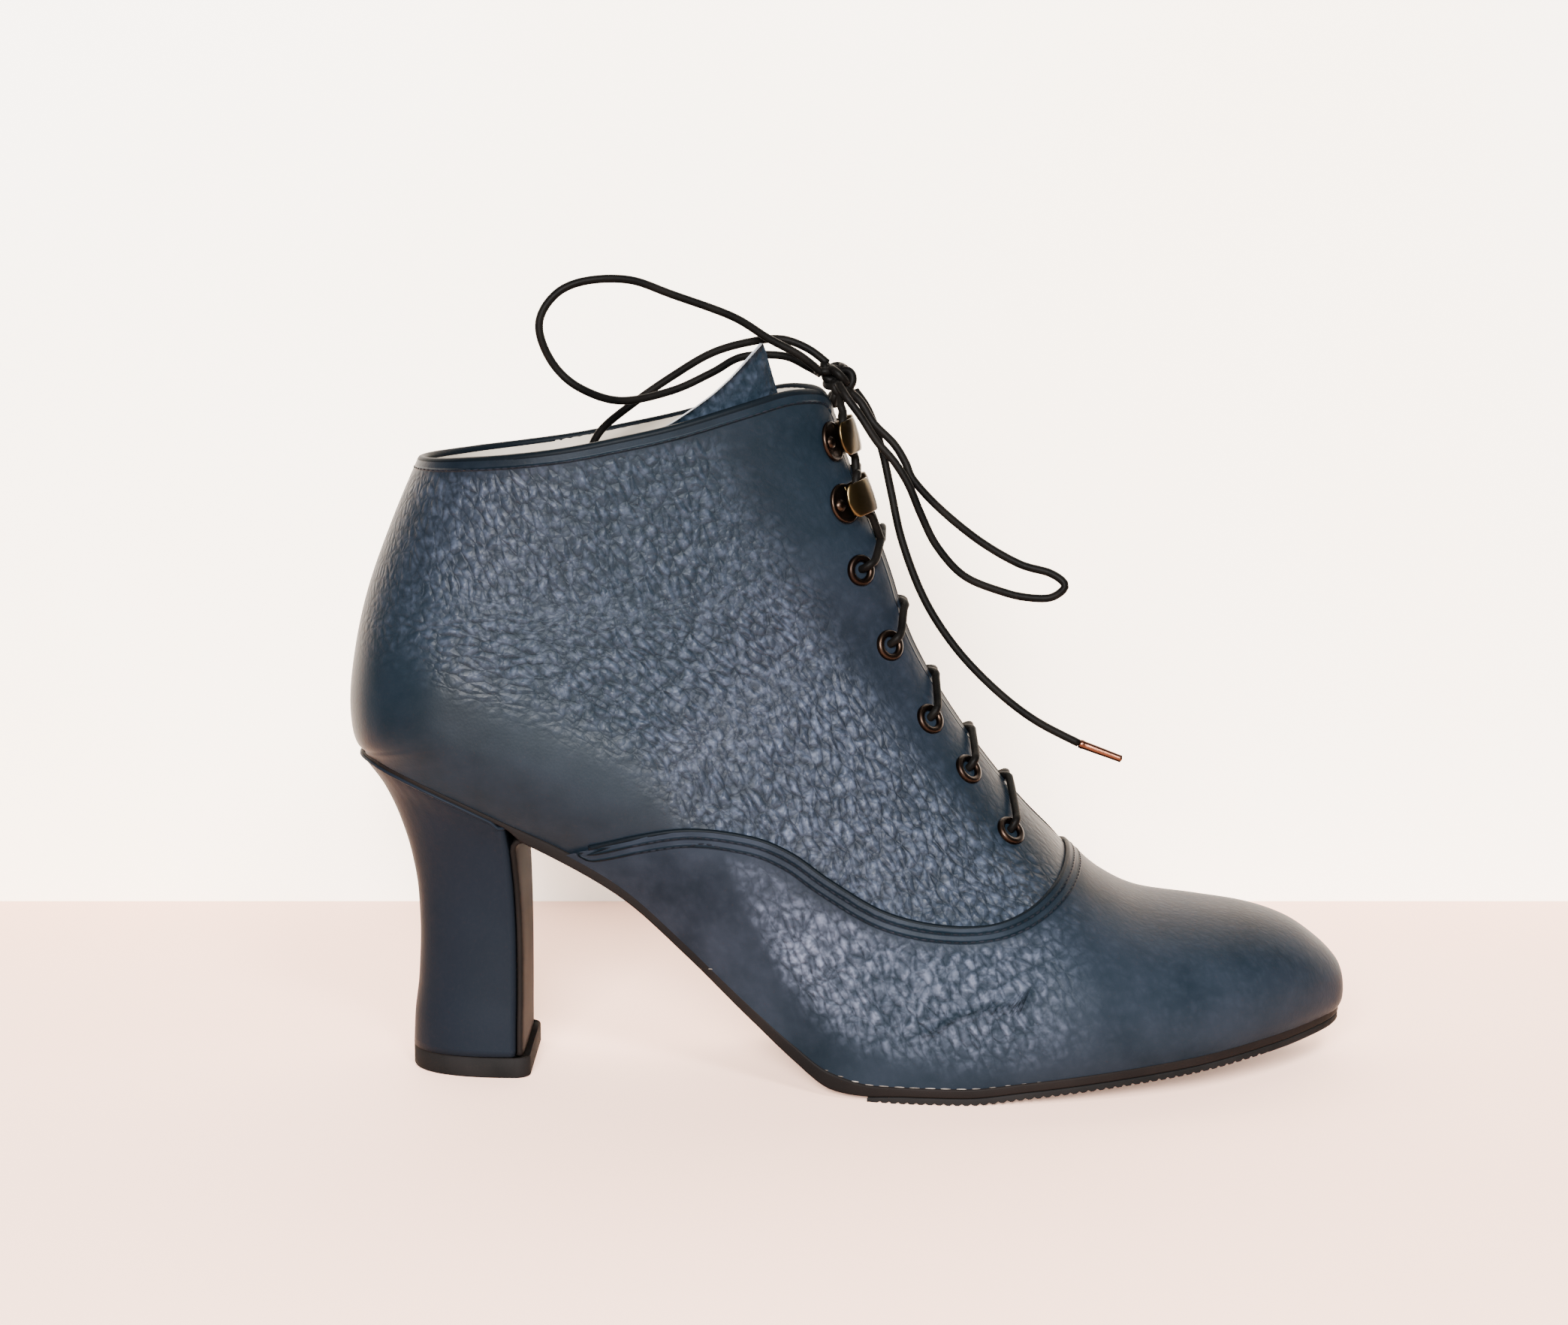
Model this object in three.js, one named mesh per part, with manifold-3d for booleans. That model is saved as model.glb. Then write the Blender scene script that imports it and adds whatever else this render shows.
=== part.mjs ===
// A right lace-up ankle boot on a covered, flared heel, in millimetres.
// +X runs from heel to toe, +Y to the medial side, +Z up; the boot stands on z = 0.
import * as THREE from "three";
import { mergeVertices } from "three/addons/utils/BufferGeometryUtils.js";
import Module from "manifold-3d";

const wasm = await Module();
wasm.setup();

// Driving sizes of the last and the sole
const length = 241.4;
const ballWidth = 79.8;
const heelRise = 74.2;
const toeSpring = 9.8;
const quarterHeight = 73.9;
const frontHeight = 163.4;
const collarClimb = 15.9;

// Thicknesses, steps and clearances
const wall = 2.0;
const vampStep = 1.0;
const gap = 0.3;
const soleEdge = 4.0;
const halfSoleThickness = 1.5;
const shankThickness = 3.3;
const seatThickness = 1.3;
const ledgeWidth = 1.5;
const flapThickness = 1.5;
const liftThickness = 5.0;
const insoleThickness = 2.5;
const tongueThickness = 1.4;
const lacingGap = 6.0;
const laceDiameter = 2.0;
const eyeletRadius = 3.75;
const eyeletHole = 2.0;
const barrelWall = 0.55;
const flangeThickness = 0.8;
const hookLength = 7.0;

// Section rows per surface and points per side of a section
const lowPoints = 3;
const highPoints = 6;
const crestCrowding = 1.35;
const outlineSteps = 2;
const [heelTurn, toeTurn] = [4, 18];

const leather = new THREE.MeshStandardMaterial({ color: 0x363f4c, roughness: 0.45, metalness: 0 });
const lining = new THREE.MeshStandardMaterial({ color: 0xa39b8c, roughness: 0.8, metalness: 0 });
const soleLeather = new THREE.MeshStandardMaterial({ color: 0x1a1716, roughness: 0.35, metalness: 0 });
const bronze = new THREE.MeshStandardMaterial({ color: 0x5c4733, roughness: 0.4, metalness: 0.9 });
const gilt = new THREE.MeshStandardMaterial({ color: 0xb08e52, roughness: 0.35, metalness: 0.9 });
const lace = new THREE.MeshStandardMaterial({ color: 0x17171a, roughness: 0.5, metalness: 0 });
const copper = new THREE.MeshStandardMaterial({ color: 0xb76b42, roughness: 0.3, metalness: 0.9 });
const rubber = new THREE.MeshStandardMaterial({ color: 0x141414, roughness: 0.7, metalness: 0 });

// The sole's outline from heel to toe. along is a share of length; lateral and medial are
// shares of ballWidth from the long axis; ledge is the share of ledgeWidth left bare at the edge.
const outlineRows = [
  { along: 0.0087, lateral: 0.0, medial: 0.0, ledge: 0 },
  { along: 0.0112, lateral: 0.069, medial: 0.069, ledge: 0 },
  { along: 0.0186, lateral: 0.133, medial: 0.133, ledge: 0 },
  { along: 0.0348, lateral: 0.216, medial: 0.216, ledge: 0 },
  { along: 0.0617, lateral: 0.283, medial: 0.283, ledge: 0 },
  { along: 0.1031, lateral: 0.316, medial: 0.316, ledge: 0 },
  { along: 0.1653, lateral: 0.306, medial: 0.303, ledge: 0.1 },
  { along: 0.2274, lateral: 0.296, medial: 0.281, ledge: 0.4 },
  { along: 0.2896, lateral: 0.305, medial: 0.276, ledge: 0.5 },
  { along: 0.3517, lateral: 0.336, medial: 0.286, ledge: 0.6 },
  { along: 0.4138, lateral: 0.385, medial: 0.307, ledge: 0.8 },
  { along: 0.476, lateral: 0.449, medial: 0.351, ledge: 1 },
  { along: 0.5174, lateral: 0.489, medial: 0.389, ledge: 1 },
  { along: 0.5588, lateral: 0.516, medial: 0.424, ledge: 1 },
  { along: 0.621, lateral: 0.531, medial: 0.456, ledge: 1 },
  { along: 0.6831, lateral: 0.526, medial: 0.474, ledge: 1 },
  { along: 0.7452, lateral: 0.501, medial: 0.477, ledge: 1 },
  { along: 0.8074, lateral: 0.451, medial: 0.462, ledge: 1 },
  { along: 0.8488, lateral: 0.4, medial: 0.439, ledge: 1 },
  { along: 0.8902, lateral: 0.326, medial: 0.401, ledge: 1 },
  { along: 0.9316, lateral: 0.231, medial: 0.343, ledge: 1 },
  { along: 0.9648, lateral: 0.128, medial: 0.273, ledge: 1 },
  { along: 0.983, lateral: 0.055, medial: 0.213, ledge: 1 },
  { along: 0.993, lateral: -0.015, medial: 0.155, ledge: 1 },
  { along: 0.9963, lateral: -0.0815, medial: 0.0815, ledge: 1 },
];

// Height of the sole's upper face. heel is a share of heelRise, toe a share of toeSpring.
const soleRows = [
  { along: -0.02, heel: 1.004, toe: 0 },
  { along: 0.0095, heel: 0.998, toe: 0 },
  { along: 0.0472, heel: 0.965, toe: 0 },
  { along: 0.0965, heel: 0.899, toe: 0 },
  { along: 0.157, heel: 0.803, toe: 0 },
  { along: 0.2133, heel: 0.714, toe: 0 },
  { along: 0.273, heel: 0.598, toe: 0 },
  { along: 0.3351, heel: 0.421, toe: 0 },
  { along: 0.3973, heel: 0.229, toe: 0 },
  { along: 0.4387, heel: 0.113, toe: 0 },
  { along: 0.476, heel: 0.03, toe: 0 },
  { along: 0.5174, heel: 0, toe: 0 },
  { along: 0.6002, heel: 0, toe: 0 },
  { along: 0.6624, heel: 0, toe: 0.15 },
  { along: 0.7452, heel: 0, toe: 0.36 },
  { along: 0.8281, heel: 0, toe: 0.56 },
  { along: 0.9109, heel: 0, toe: 0.785 },
  { along: 1.02, heel: 0, toe: 1.06 },
];

// Thickness of the leather outsole: shares of the seat, shank and forefoot thicknesses
const thicknessRows = [
  { along: 0.0, seat: 1, shank: 0, fore: 0 },
  { along: 0.158, seat: 1, shank: 0, fore: 0 },
  { along: 0.178, seat: 0, shank: 0.9, fore: 0 },
  { along: 0.24, seat: 0, shank: 1, fore: 0 },
  { along: 0.4, seat: 0, shank: 1.05, fore: 0 },
  { along: 0.472, seat: 0, shank: 1.25, fore: 0 },
  { along: 0.512, seat: 0, shank: 0.45, fore: 0.6 },
  { along: 0.55, seat: 0, shank: 0, fore: 1 },
  { along: 1.0, seat: 0, shank: 0, fore: 1 },
];

// Sections of the last, fanned from the toe to above the collar. A section's plane holds the
// line from its low point (low, rise) to its front point (front, up) and the Y direction.
// low and front are shares of length, rise of quarterHeight above the sole, up of frontHeight,
// sway, lateral and medial of ballWidth, widest of the section's own height; under and over
// are the roundness below and above the widest line; seat is 1 where the section meets the sole.
const sectionRows = [
  {
    low: 0.9959, rise: 0.027, front: 0.9959, up: 0.1138, sway: 0.0815,
    lateral: 0.000, medial: 0.000, widest: 0.4, over: 2.2, seat: 0,
  },
  {
    low: 0.9938, rise: 0.01, front: 0.9934, up: 0.1285, sway: 0.0815,
    lateral: 0.063, medial: 0.063, widest: 0.4, over: 2.2, seat: 0,
  },
  {
    low: 0.9872, rise: 0, front: 0.9872, up: 0.1469, sway: 0.0789,
    lateral: 0.124, medial: 0.122, widest: 0.36, over: 2.3, seat: 1,
  },
  {
    low: 0.9698, rise: 0, front: 0.9698, up: 0.1726, sway: 0.0752,
    lateral: 0.198, medial: 0.185, widest: 0.34, over: 2.3, seat: 1,
  },
  {
    low: 0.9416, rise: 0, front: 0.9416, up: 0.2007, sway: 0.0702,
    lateral: 0.288, medial: 0.258, widest: 0.33, over: 2.3, seat: 1,
  },
  {
    low: 0.9027, rise: 0, front: 0.9027, up: 0.2197, sway: 0.0652,
    lateral: 0.383, medial: 0.328, widest: 0.32, over: 2.3, seat: 1,
  },
  {
    low: 0.8488, rise: 0, front: 0.8509, up: 0.2319, sway: 0.0627,
    lateral: 0.476, medial: 0.381, widest: 0.3, over: 2.25, seat: 1,
  },
  {
    low: 0.7825, rise: 0, front: 0.7908, up: 0.2460, sway: 0.0627,
    lateral: 0.554, medial: 0.414, widest: 0.29, over: 2.15, seat: 1,
  },
  {
    low: 0.7121, rise: 0, front: 0.7494, up: 0.2766, sway: 0.0627,
    lateral: 0.600, medial: 0.425, widest: 0.28, over: 2.05, seat: 1,
  },
  {
    low: 0.6375, rise: 0, front: 0.7204, up: 0.3146, sway: 0.0564,
    lateral: 0.602, medial: 0.424, widest: 0.28, over: 2.02, seat: 1,
  },
  {
    low: 0.5630, rise: 0, front: 0.6980, up: 0.3501, sway: 0.0501,
    lateral: 0.571, medial: 0.404, widest: 0.29, over: 2.0, seat: 1,
  },
  {
    low: 0.4884, rise: 0, front: 0.6748, up: 0.3856, sway: 0.0401,
    lateral: 0.521, medial: 0.376, widest: 0.3, over: 2.0, seat: 1,
  },
  {
    low: 0.4138, rise: 0, front: 0.6491, up: 0.4308, sway: 0.0326,
    lateral: 0.469, medial: 0.358, widest: 0.31, over: 2.0, seat: 1,
  },
  {
    low: 0.3310, rise: 0, front: 0.6251, up: 0.4774, sway: 0.0251,
    lateral: 0.426, medial: 0.353, widest: 0.31, over: 2.0, seat: 1,
  },
  {
    low: 0.2481, rise: 0, front: 0.6044, up: 0.5214, sway: 0.0188,
    lateral: 0.400, medial: 0.356, widest: 0.29, over: 2.0, seat: 1,
  },
  {
    low: 0.1653, rise: 0, front: 0.5862, up: 0.5643, sway: 0.0125,
    lateral: 0.388, medial: 0.361, widest: 0.26, over: 2.0, seat: 1,
  },
  {
    low: 0.0907, rise: 0, front: 0.5704, up: 0.6059, sway: 0.0075,
    lateral: 0.383, medial: 0.368, widest: 0.22, over: 2.0, seat: 1,
  },
  {
    low: 0.0389, rise: 0, front: 0.5580, up: 0.6450, sway: 0.0038,
    lateral: 0.380, medial: 0.372, widest: 0.19, over: 2.0, seat: 1,
  },
  {
    low: 0.0083, rise: 0.008, front: 0.5489, up: 0.6854, sway: 0.0000,
    lateral: 0.376, medial: 0.373, widest: 0.2, over: 2.0, seat: 0,
  },
  {
    low: -0.0004, rise: 0.126, front: 0.5406, up: 0.7271, sway: 0.0000,
    lateral: 0.372, medial: 0.372, widest: 0.22, over: 2.0, seat: 0,
  },
  {
    low: 0.0037, rise: 0.296, front: 0.5298, up: 0.7723, sway: 0.0000,
    lateral: 0.366, medial: 0.366, widest: 0.27, over: 2.0, seat: 0,
  },
  {
    low: 0.0174, rise: 0.507, front: 0.5157, up: 0.8262, sway: 0.0000,
    lateral: 0.358, medial: 0.358, widest: 0.33, over: 2.0, seat: 0,
  },
  {
    low: 0.0410, rise: 0.744, front: 0.5000, up: 0.8813, sway: 0.0000,
    lateral: 0.358, medial: 0.358, widest: 0.39, over: 2.0, seat: 0,
  },
  {
    low: 0.0708, rise: 1.005, front: 0.4863, up: 0.9400, sway: 0.0000,
    lateral: 0.366, medial: 0.366, widest: 0.43, over: 2.0, seat: 0,
  },
  {
    low: 0.0969, rise: 1.223, front: 0.4776, up: 1.0037, sway: 0.0000,
    lateral: 0.376, medial: 0.376, widest: 0.45, over: 2.0, seat: 0,
  },
  {
    low: 0.1197, rise: 1.435, front: 0.4685, up: 1.0771, sway: 0.0000,
    lateral: 0.386, medial: 0.386, widest: 0.46, over: 2.0, seat: 0,
  },
];
const underRoundness = 2.2;

// Collar edge seen from the side. climb is the share of collarClimb above the collar's back.
const collarRows = [
  { along: -0.06, climb: -0.02 },
  { along: 0.0708, climb: 0.0 },
  { along: 0.1288, climb: 0.05 },
  { along: 0.1765, climb: 0.113 },
  { along: 0.2225, climb: 0.2 },
  { along: 0.2672, climb: 0.327 },
  { along: 0.3268, climb: 0.522 },
  { along: 0.3935, climb: 0.811 },
  { along: 0.4308, climb: 0.969 },
  { along: 0.4532, climb: 1.0 },
  { along: 0.4689, climb: 0.962 },
  { along: 0.4768, climb: 0.83 },
  { along: 0.481, climb: 0.62 },
];

// Folded top edge of the vamp seen from the side, from the waist to the crest
const vampEdgeRows = [
  { along: 0.2088, up: 0.3335 },
  { along: 0.2212, up: 0.3446 },
  { along: 0.2738, up: 0.3684 },
  { along: 0.336, up: 0.3837 },
  { along: 0.3973, up: 0.3733 },
  { along: 0.437, up: 0.3501 },
  { along: 0.4743, up: 0.3121 },
  { along: 0.5244, up: 0.2693 },
  { along: 0.575, up: 0.2497 },
  { along: 0.6259, up: 0.2472 },
  { along: 0.6657, up: 0.265 },
  { along: 0.6984, up: 0.2974 },
  { along: 0.7191, up: 0.3299 },
];

// How far a heel wall has moved from the seat's outline to the lift's, by share of the way down
const heelRows = [
  { down: -0.08, move: -0.32 },
  { down: 0.0, move: 0.0 },
  { down: 0.108, move: 0.466 },
  { down: 0.215, move: 0.76 },
  { down: 0.34, move: 0.985 },
  { down: 0.47, move: 1.11 },
  { down: 0.6, move: 1.14 },
  { down: 0.76, move: 1.1 },
  { down: 0.9, move: 1.0 },
  { down: 1.0, move: 0.97 },
];
const liftBack = 0.0585;
const breastTop = 0.1665;
const breastFoot = 0.1727;
const liftHalfWidth = 0.232;
const heelRoundness = 2.6;
const heelCorner = 1.5;
const liftCorner = 3.5;
const liftReach = 1.6;

// The tongue's half width, as a share of the quarter turn from the crest, by section row
const tongueRows = [
  { row: 8.6, near: 0.26, far: 0.26 },
  { row: 12, near: 0.34, far: 0.34 },
  { row: 16, near: 0.42, far: 0.4 },
  { row: 20, near: 0.52, far: 0.48 },
  { row: 22, near: 0.68, far: 0.56 },
  { row: 23, near: 0.82, far: 0.6 },
  { row: 25, near: 0.82, far: 0.6 },
];
// The tongue's cut top: across is a share of its half width, row the section row it ends at
const tongueTopRows = [
  { across: -1, row: 23.4 },
  { across: -0.8, row: 24.15 },
  { across: -0.58, row: 24.9 },
  { across: -0.49, row: 23.95 },
  { across: -0.3, row: 23.7 },
  { across: -0.15, row: 23.65 },
  { across: 0, row: 23.6 },
  { across: 0.15, row: 23.6 },
  { across: 0.3, row: 23.65 },
  { across: 0.6, row: 23.6 },
  { across: 1, row: 23.4 },
];
const tongueStart = 8.6;
const tongueSteps = 12;
const tongueGap = 0.7;
const laceRoom = 3.1;

// Eyelets and hooks from the throat up: the section row each sits at, and its share of the
// quarter turn from the crest to the widest line
const eyeletRows = [
  { row: 11.22, across: 0.312 },
  { row: 12.81, across: 0.27 },
  { row: 14.37, across: 0.264 },
  { row: 16.9, across: 0.22 },
  { row: 19.58, across: 0.244 },
];
const hookRows = [
  { row: 21.35, across: 0.206 },
  { row: 22.84, across: 0.16 },
];

// The bow's cords, each a route of [x, y, z] from the knot outward
const knotCentre = [-3.8, 0, 165.5];
const cordRoutes = {
  lace_loop_back: [
    [-7.7, -2.2, 167.4],
    [-13, -3.2, 171.6],
    [-20.4, -4, 175.6],
    [-28.9, -5.5, 180.8],
    [-43, -8, 186],
    [-52.3, -10, 189.3],
    [-61.5, -12, 189.4],
    [-68.5, -13, 187.1],
    [-72.9, -13.6, 182],
    [-73.4, -13.6, 176.5],
    [-70.1, -12.8, 169.4],
    [-64.1, -12, 164.2],
    [-54.9, -8.8, 161.2],
    [-43.2, -4, 163.3],
    [-33.8, -1, 167.4],
    [-26.7, 2, 171.0],
    [-17, 3.5, 171.2],
    [-11, 3.2, 168.6],
    [-7.9, 2.4, 166.9],
  ],
  lace_end_back: [
    [-6.4, 0.4, 169.6],
    [-11, 0.8, 173],
    [-17.1, 1.2, 175.2],
    [-24.3, 3.6, 174.6],
    [-33.9, 5.5, 171.8],
    [-43.6, 7, 166.1],
    [-53.4, 8, 159.3],
    [-60.8, 10, 153.1],
    [-64, 11, 147],
    [-65, 11.4, 142.5],
  ],
  lace_loop_front: [
    [-1, -3.6, 163],
    [1.6, -5, 160.4],
    [4.6, -6, 155.6],
    [9.2, -6.8, 151],
    [12, -7.6, 146.5],
    [13.9, -8.2, 142.4],
    [20.4, -8.6, 135.5],
    [29.6, -9, 128.1],
    [38.9, -10, 122.8],
    [46.2, -11, 120.7],
    [49.6, -12, 117.9],
    [46.6, -11.7, 115.1],
    [41.5, -11.4, 114.9],
    [35.2, -11.1, 116.2],
    [25.9, -10.9, 120],
    [19.4, -10.6, 127],
    [15.6, -10.4, 134.5],
    [12.6, -10.3, 141.6],
    [9.2, -9.8, 147],
    [5.2, -8.9, 151.6],
    [1.4, -8.2, 157.4],
    [-2, -7.4, 162],
    [-3.8, -5.2, 165],
  ],
  lace_end_front: [
    [0.2, -0.4, 163.2],
    [3.6, -1, 158],
    [6.6, -2.6, 149],
    [8.6, -4.4, 140],
    [11.4, -6, 127.6],
    [16.7, -8, 114],
    [24.2, -10, 102.6],
    [33.5, -12, 93],
    [42.7, -13.5, 86],
    [53, -14.8, 80.7],
  ],
};
const cordSteps = { lace_loop_back: 28, lace_end_back: 12, lace_loop_front: 24, lace_end_front: 16 };
const agletEnd = [63, -16, 77.1];

const clamp = (value, low, high) => Math.min(high, Math.max(low, value));
const mix = (a, b, share) => a + (b - a) * share;
const xAt = (along) => (along - 0.5) * length;
const alongAt = (x) => x / length + 0.5;

// Every column of a table at a fractional row, on a smooth curve through the rows
function rowAt(table, position) {
  const last = table.length - 1;
  const index = clamp(Math.floor(position), 0, last - 1);
  const f = position - index;
  const result = {};
  for (const column of Object.keys(table[0])) {
    const [a, b, c, d] = [-1, 0, 1, 2].map((step) => table[clamp(index + step, 0, last)][column]);
    result[column] =
      0.5 * (2 * b + (c - a) * f + (2 * a - 5 * b + 4 * c - d) * f * f + (3 * b - a - 3 * c + d) * f ** 3);
  }
  return result;
}

// One column of a table as a smooth, never overshooting function of another, rising column
function follow(table, key, column, value) {
  const last = table.length - 1;
  let index = 0;
  while (index < last - 1 && table[index + 1][key] < value) index += 1;
  const width = (i) => table[i + 1][key] - table[i][key];
  const slope = (i) => (table[i + 1][column] - table[i][column]) / width(i);
  const tangent = (i) => {
    if (i <= 0) return slope(0);
    if (i >= last) return slope(last - 1);
    const [before, after] = [slope(i - 1), slope(i)];
    if (before * after <= 0) return 0;
    const [w1, w2] = [2 * width(i) + width(i - 1), width(i) + 2 * width(i - 1)];
    return (w1 + w2) / (w1 / before + w2 / after);
  };
  const h = width(index);
  const f = clamp((value - table[index][key]) / h, 0, 1);
  const [p, q] = [table[index][column], table[index + 1][column]];
  const [m, n] = [tangent(index) * h, tangent(index + 1) * h];
  const [fromStart, fromEnd] = [2 * f ** 3 - 3 * f ** 2 + 1, 3 * f ** 2 - 2 * f ** 3];
  return fromStart * p + (f ** 3 - 2 * f ** 2 + f) * m + fromEnd * q + (f ** 3 - f ** 2) * n;
}

// The sole's outline as stations: x with its lateral and medial edges
const stations = [];
const stationRows = [];
for (let row = 0; row < outlineRows.length - 0.5; ) {
  stationRows.push(row);
  row += row >= heelTurn && row < toeTurn ? 1 : 1 / outlineSteps;
}
for (const position of stationRows) {
  const row = rowAt(outlineRows, position);
  stations.push({
    x: xAt(row.along),
    lateral: -row.lateral * ballWidth,
    medial: row.medial * ballWidth,
    ledge: row.ledge * ledgeWidth,
  });
}
const heelTip = stations[0].x;
const toeTip = stations[stations.length - 1].x;

// A value of the stations at x, along their straight stretches
function stationAt(x, name) {
  const at = clamp(x, heelTip, toeTip);
  let index = 0;
  while (index < stations.length - 2 && stations[index + 1].x < at) index += 1;
  const [a, b] = [stations[index], stations[index + 1]];
  return mix(a[name], b[name], (at - a.x) / (b.x - a.x));
}

const soleTopAt = (x) =>
  soleEdge +
  follow(soleRows, "along", "heel", alongAt(x)) * heelRise +
  follow(soleRows, "along", "toe", alongAt(x)) * toeSpring;
const foreThickness = soleEdge - halfSoleThickness - gap;
const soleBottomAt = (x) =>
  soleTopAt(x) -
  follow(thicknessRows, "along", "seat", alongAt(x)) * seatThickness -
  follow(thicknessRows, "along", "shank", alongAt(x)) * shankThickness -
  follow(thicknessRows, "along", "fore", alongAt(x)) * foreThickness;

// x positions that every face ruled across the sole shares, a little past both tips
const margin = 8;
const ruledXs = [heelTip - margin, ...stations.map((station) => station.x), toeTip + margin];

// A closed solid from a list of triangles, its equal corners joined and its faces turned out
function solidFromTriangles(triangles) {
  const positions = triangles.flat().flatMap((p) => [p.x, p.y, p.z]);
  const geometry = new THREE.BufferGeometry();
  geometry.setAttribute("position", new THREE.Float32BufferAttribute(positions, 3));
  return solidFromGeometry(geometry);
}

function solidFromGeometry(source) {
  const bare = source.index ? source.toNonIndexed() : source.clone();
  bare.deleteAttribute("normal");
  bare.deleteAttribute("uv");
  const merged = mergeVertices(bare, 1e-4);
  const index = Array.from(merged.index.array);
  const kept = [];
  for (let i = 0; i < index.length; i += 3) {
    const [a, b, c] = index.slice(i, i + 3);
    if (a !== b && b !== c && c !== a) kept.push(a, b, c);
  }
  const points = merged.attributes.position.array;
  const corner = (i) => new THREE.Vector3().fromArray(points, 3 * i);
  let volume = 0;
  for (let i = 0; i < kept.length; i += 3) {
    volume += corner(kept[i]).dot(corner(kept[i + 1]).cross(corner(kept[i + 2])));
  }
  if (volume < 0) kept.reverse();
  return new wasm.Manifold(
    new wasm.Mesh({ numProp: 3, vertProperties: points, triVerts: Uint32Array.from(kept) }),
  );
}

// A closed solid through rings of equally many points, with flat fans over both end rings
function loft(rings, capStart = true) {
  const triangles = [];
  const count = rings[0].length;
  for (let i = 0; i + 1 < rings.length; i += 1) {
    for (let j = 0; j < count; j += 1) {
      const k = (j + 1) % count;
      const [here, next] = [rings[i], rings[i + 1]];
      triangles.push([here[j], here[k], next[k]], [here[j], next[k], next[j]]);
    }
  }
  const cap = (ring, flip) => {
    const centre = ring.reduce((sum, p) => sum.add(p), new THREE.Vector3()).divideScalar(count);
    for (let j = 0; j < count; j += 1) {
      const k = (j + 1) % count;
      triangles.push(flip ? [centre, ring[k], ring[j]] : [centre, ring[j], ring[k]]);
    }
  };
  if (capStart) cap(rings[0], true);
  cap(rings[rings.length - 1], false);
  return solidFromTriangles(triangles);
}

// A side-view outline of [x, z] points, carried across the boot from y0 to y1
function prism(points, y0 = -ballWidth, y1 = ballWidth) {
  const shape = new THREE.Shape(points.map(([x, z]) => new THREE.Vector2(x, z)));
  const geometry = new THREE.ExtrudeGeometry(shape, { depth: y1 - y0, bevelEnabled: false, steps: 1 });
  geometry.rotateX(Math.PI / 2);
  geometry.translate(0, y1, 0);
  return solidFromGeometry(geometry);
}

// A plate between two heights over a range of x, its edges given by a function of x
function plate(xs, topOf, bottomOf, lateralOf, medialOf) {
  const rings = xs.map((x) => {
    const [low, high] = [bottomOf(x), topOf(x)];
    const [near, far] = [lateralOf(x), medialOf(x)];
    return [
      new THREE.Vector3(x, near, low),
      new THREE.Vector3(x, far, low),
      new THREE.Vector3(x, far, high),
      new THREE.Vector3(x, near, high),
    ];
  });
  return loft(rings);
}

// The last's section at a fractional row: its plane's corner points and its widths.
// seatSwitch makes the change between a seated and a free section short.
const seatSwitch = 3;
function sectionAt(position) {
  const row = rowAt(sectionRows, position);
  const lowX = xAt(row.low);
  const low = new THREE.Vector3(lowX, 0, soleTopAt(lowX) + row.rise * quarterHeight);
  const front = new THREE.Vector3(xAt(row.front), 0, row.up * frontHeight);
  const sway = row.sway * ballWidth;
  const feather = (name, sign) => {
    const inset = stationAt(lowX, "ledge");
    const reach = sign * (stationAt(lowX, name) - sway) - inset;
    return clamp(seatSwitch * row.seat, 0, 1) * Math.max(reach, 0);
  };
  return {
    low,
    front,
    sway,
    seat: clamp(row.seat, 0, 1),
    widest: row.widest,
    over: row.over,
    lateral: Math.max(row.lateral * ballWidth, 0),
    medial: Math.max(row.medial * ballWidth, 0),
    featherLateral: feather("lateral", -1),
    featherMedial: feather("medial", 1),
  };
}

// A point of a section: angle runs from 0 at the low point to PI at the front point
function sectionPoint(section, side, angle, start) {
  const run = new THREE.Vector3().subVectors(section.front, section.low);
  const height = run.length();
  run.normalize();
  const half = side < 0 ? section.lateral : section.medial;
  const belly = section.widest * height;
  let along;
  let across;
  if (angle < Math.PI / 2) {
    along = belly - (belly + start) * Math.cos(angle) ** (2 / underRoundness);
    across = half * Math.sin(angle) ** (2 / underRoundness);
  } else {
    along = belly + (height - belly) * Math.abs(Math.cos(angle)) ** (2 / section.over);
    across = half * Math.sin(angle) ** (2 / section.over);
  }
  const point = section.low.clone().addScaledVector(run, along);
  point.y = section.sway + side * across;
  return point;
}

// Where a section's lower curve starts, so that it passes the feather edge at the sole
const widestFeather = 0.985;
function startOf(section, side) {
  const half = side < 0 ? section.lateral : section.medial;
  const feather = side < 0 ? section.featherLateral : section.featherMedial;
  const height = section.front.distanceTo(section.low);
  const share = half > 0 ? clamp(feather / half, 0, widestFeather) : 0;
  const start = section.widest * height * ((1 - share ** underRoundness) ** (-1 / underRoundness) - 1);
  return { start, angle: Math.asin(share ** (underRoundness / 2)) };
}

// One side's points of a section, from the bottom's edge to just short of the front point
const bottomDrop = 5;
const smallestAngle = 0.22;
function sidePoints(section, side) {
  const { start, angle } = startOf(section, side);
  const first = Math.max(angle, smallestAngle);
  const points = [];
  const edge = sectionPoint(section, side, first, start);
  const foot = sectionPoint(section, side, smallestAngle / 2, start);
  const run = new THREE.Vector3().subVectors(section.front, section.low).normalize();
  const dropped = edge.clone().addScaledVector(run, -bottomDrop);
  points.push(foot.lerp(dropped, section.seat));
  for (let j = 0; j < lowPoints; j += 1) {
    points.push(sectionPoint(section, side, mix(first, Math.PI / 2, j / lowPoints), start));
  }
  for (let j = 0; j < highPoints; j += 1) {
    const share = 1 - (1 - j / highPoints) ** crestCrowding;
    points.push(sectionPoint(section, side, mix(Math.PI / 2, Math.PI, share), start));
  }
  return points;
}

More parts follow.
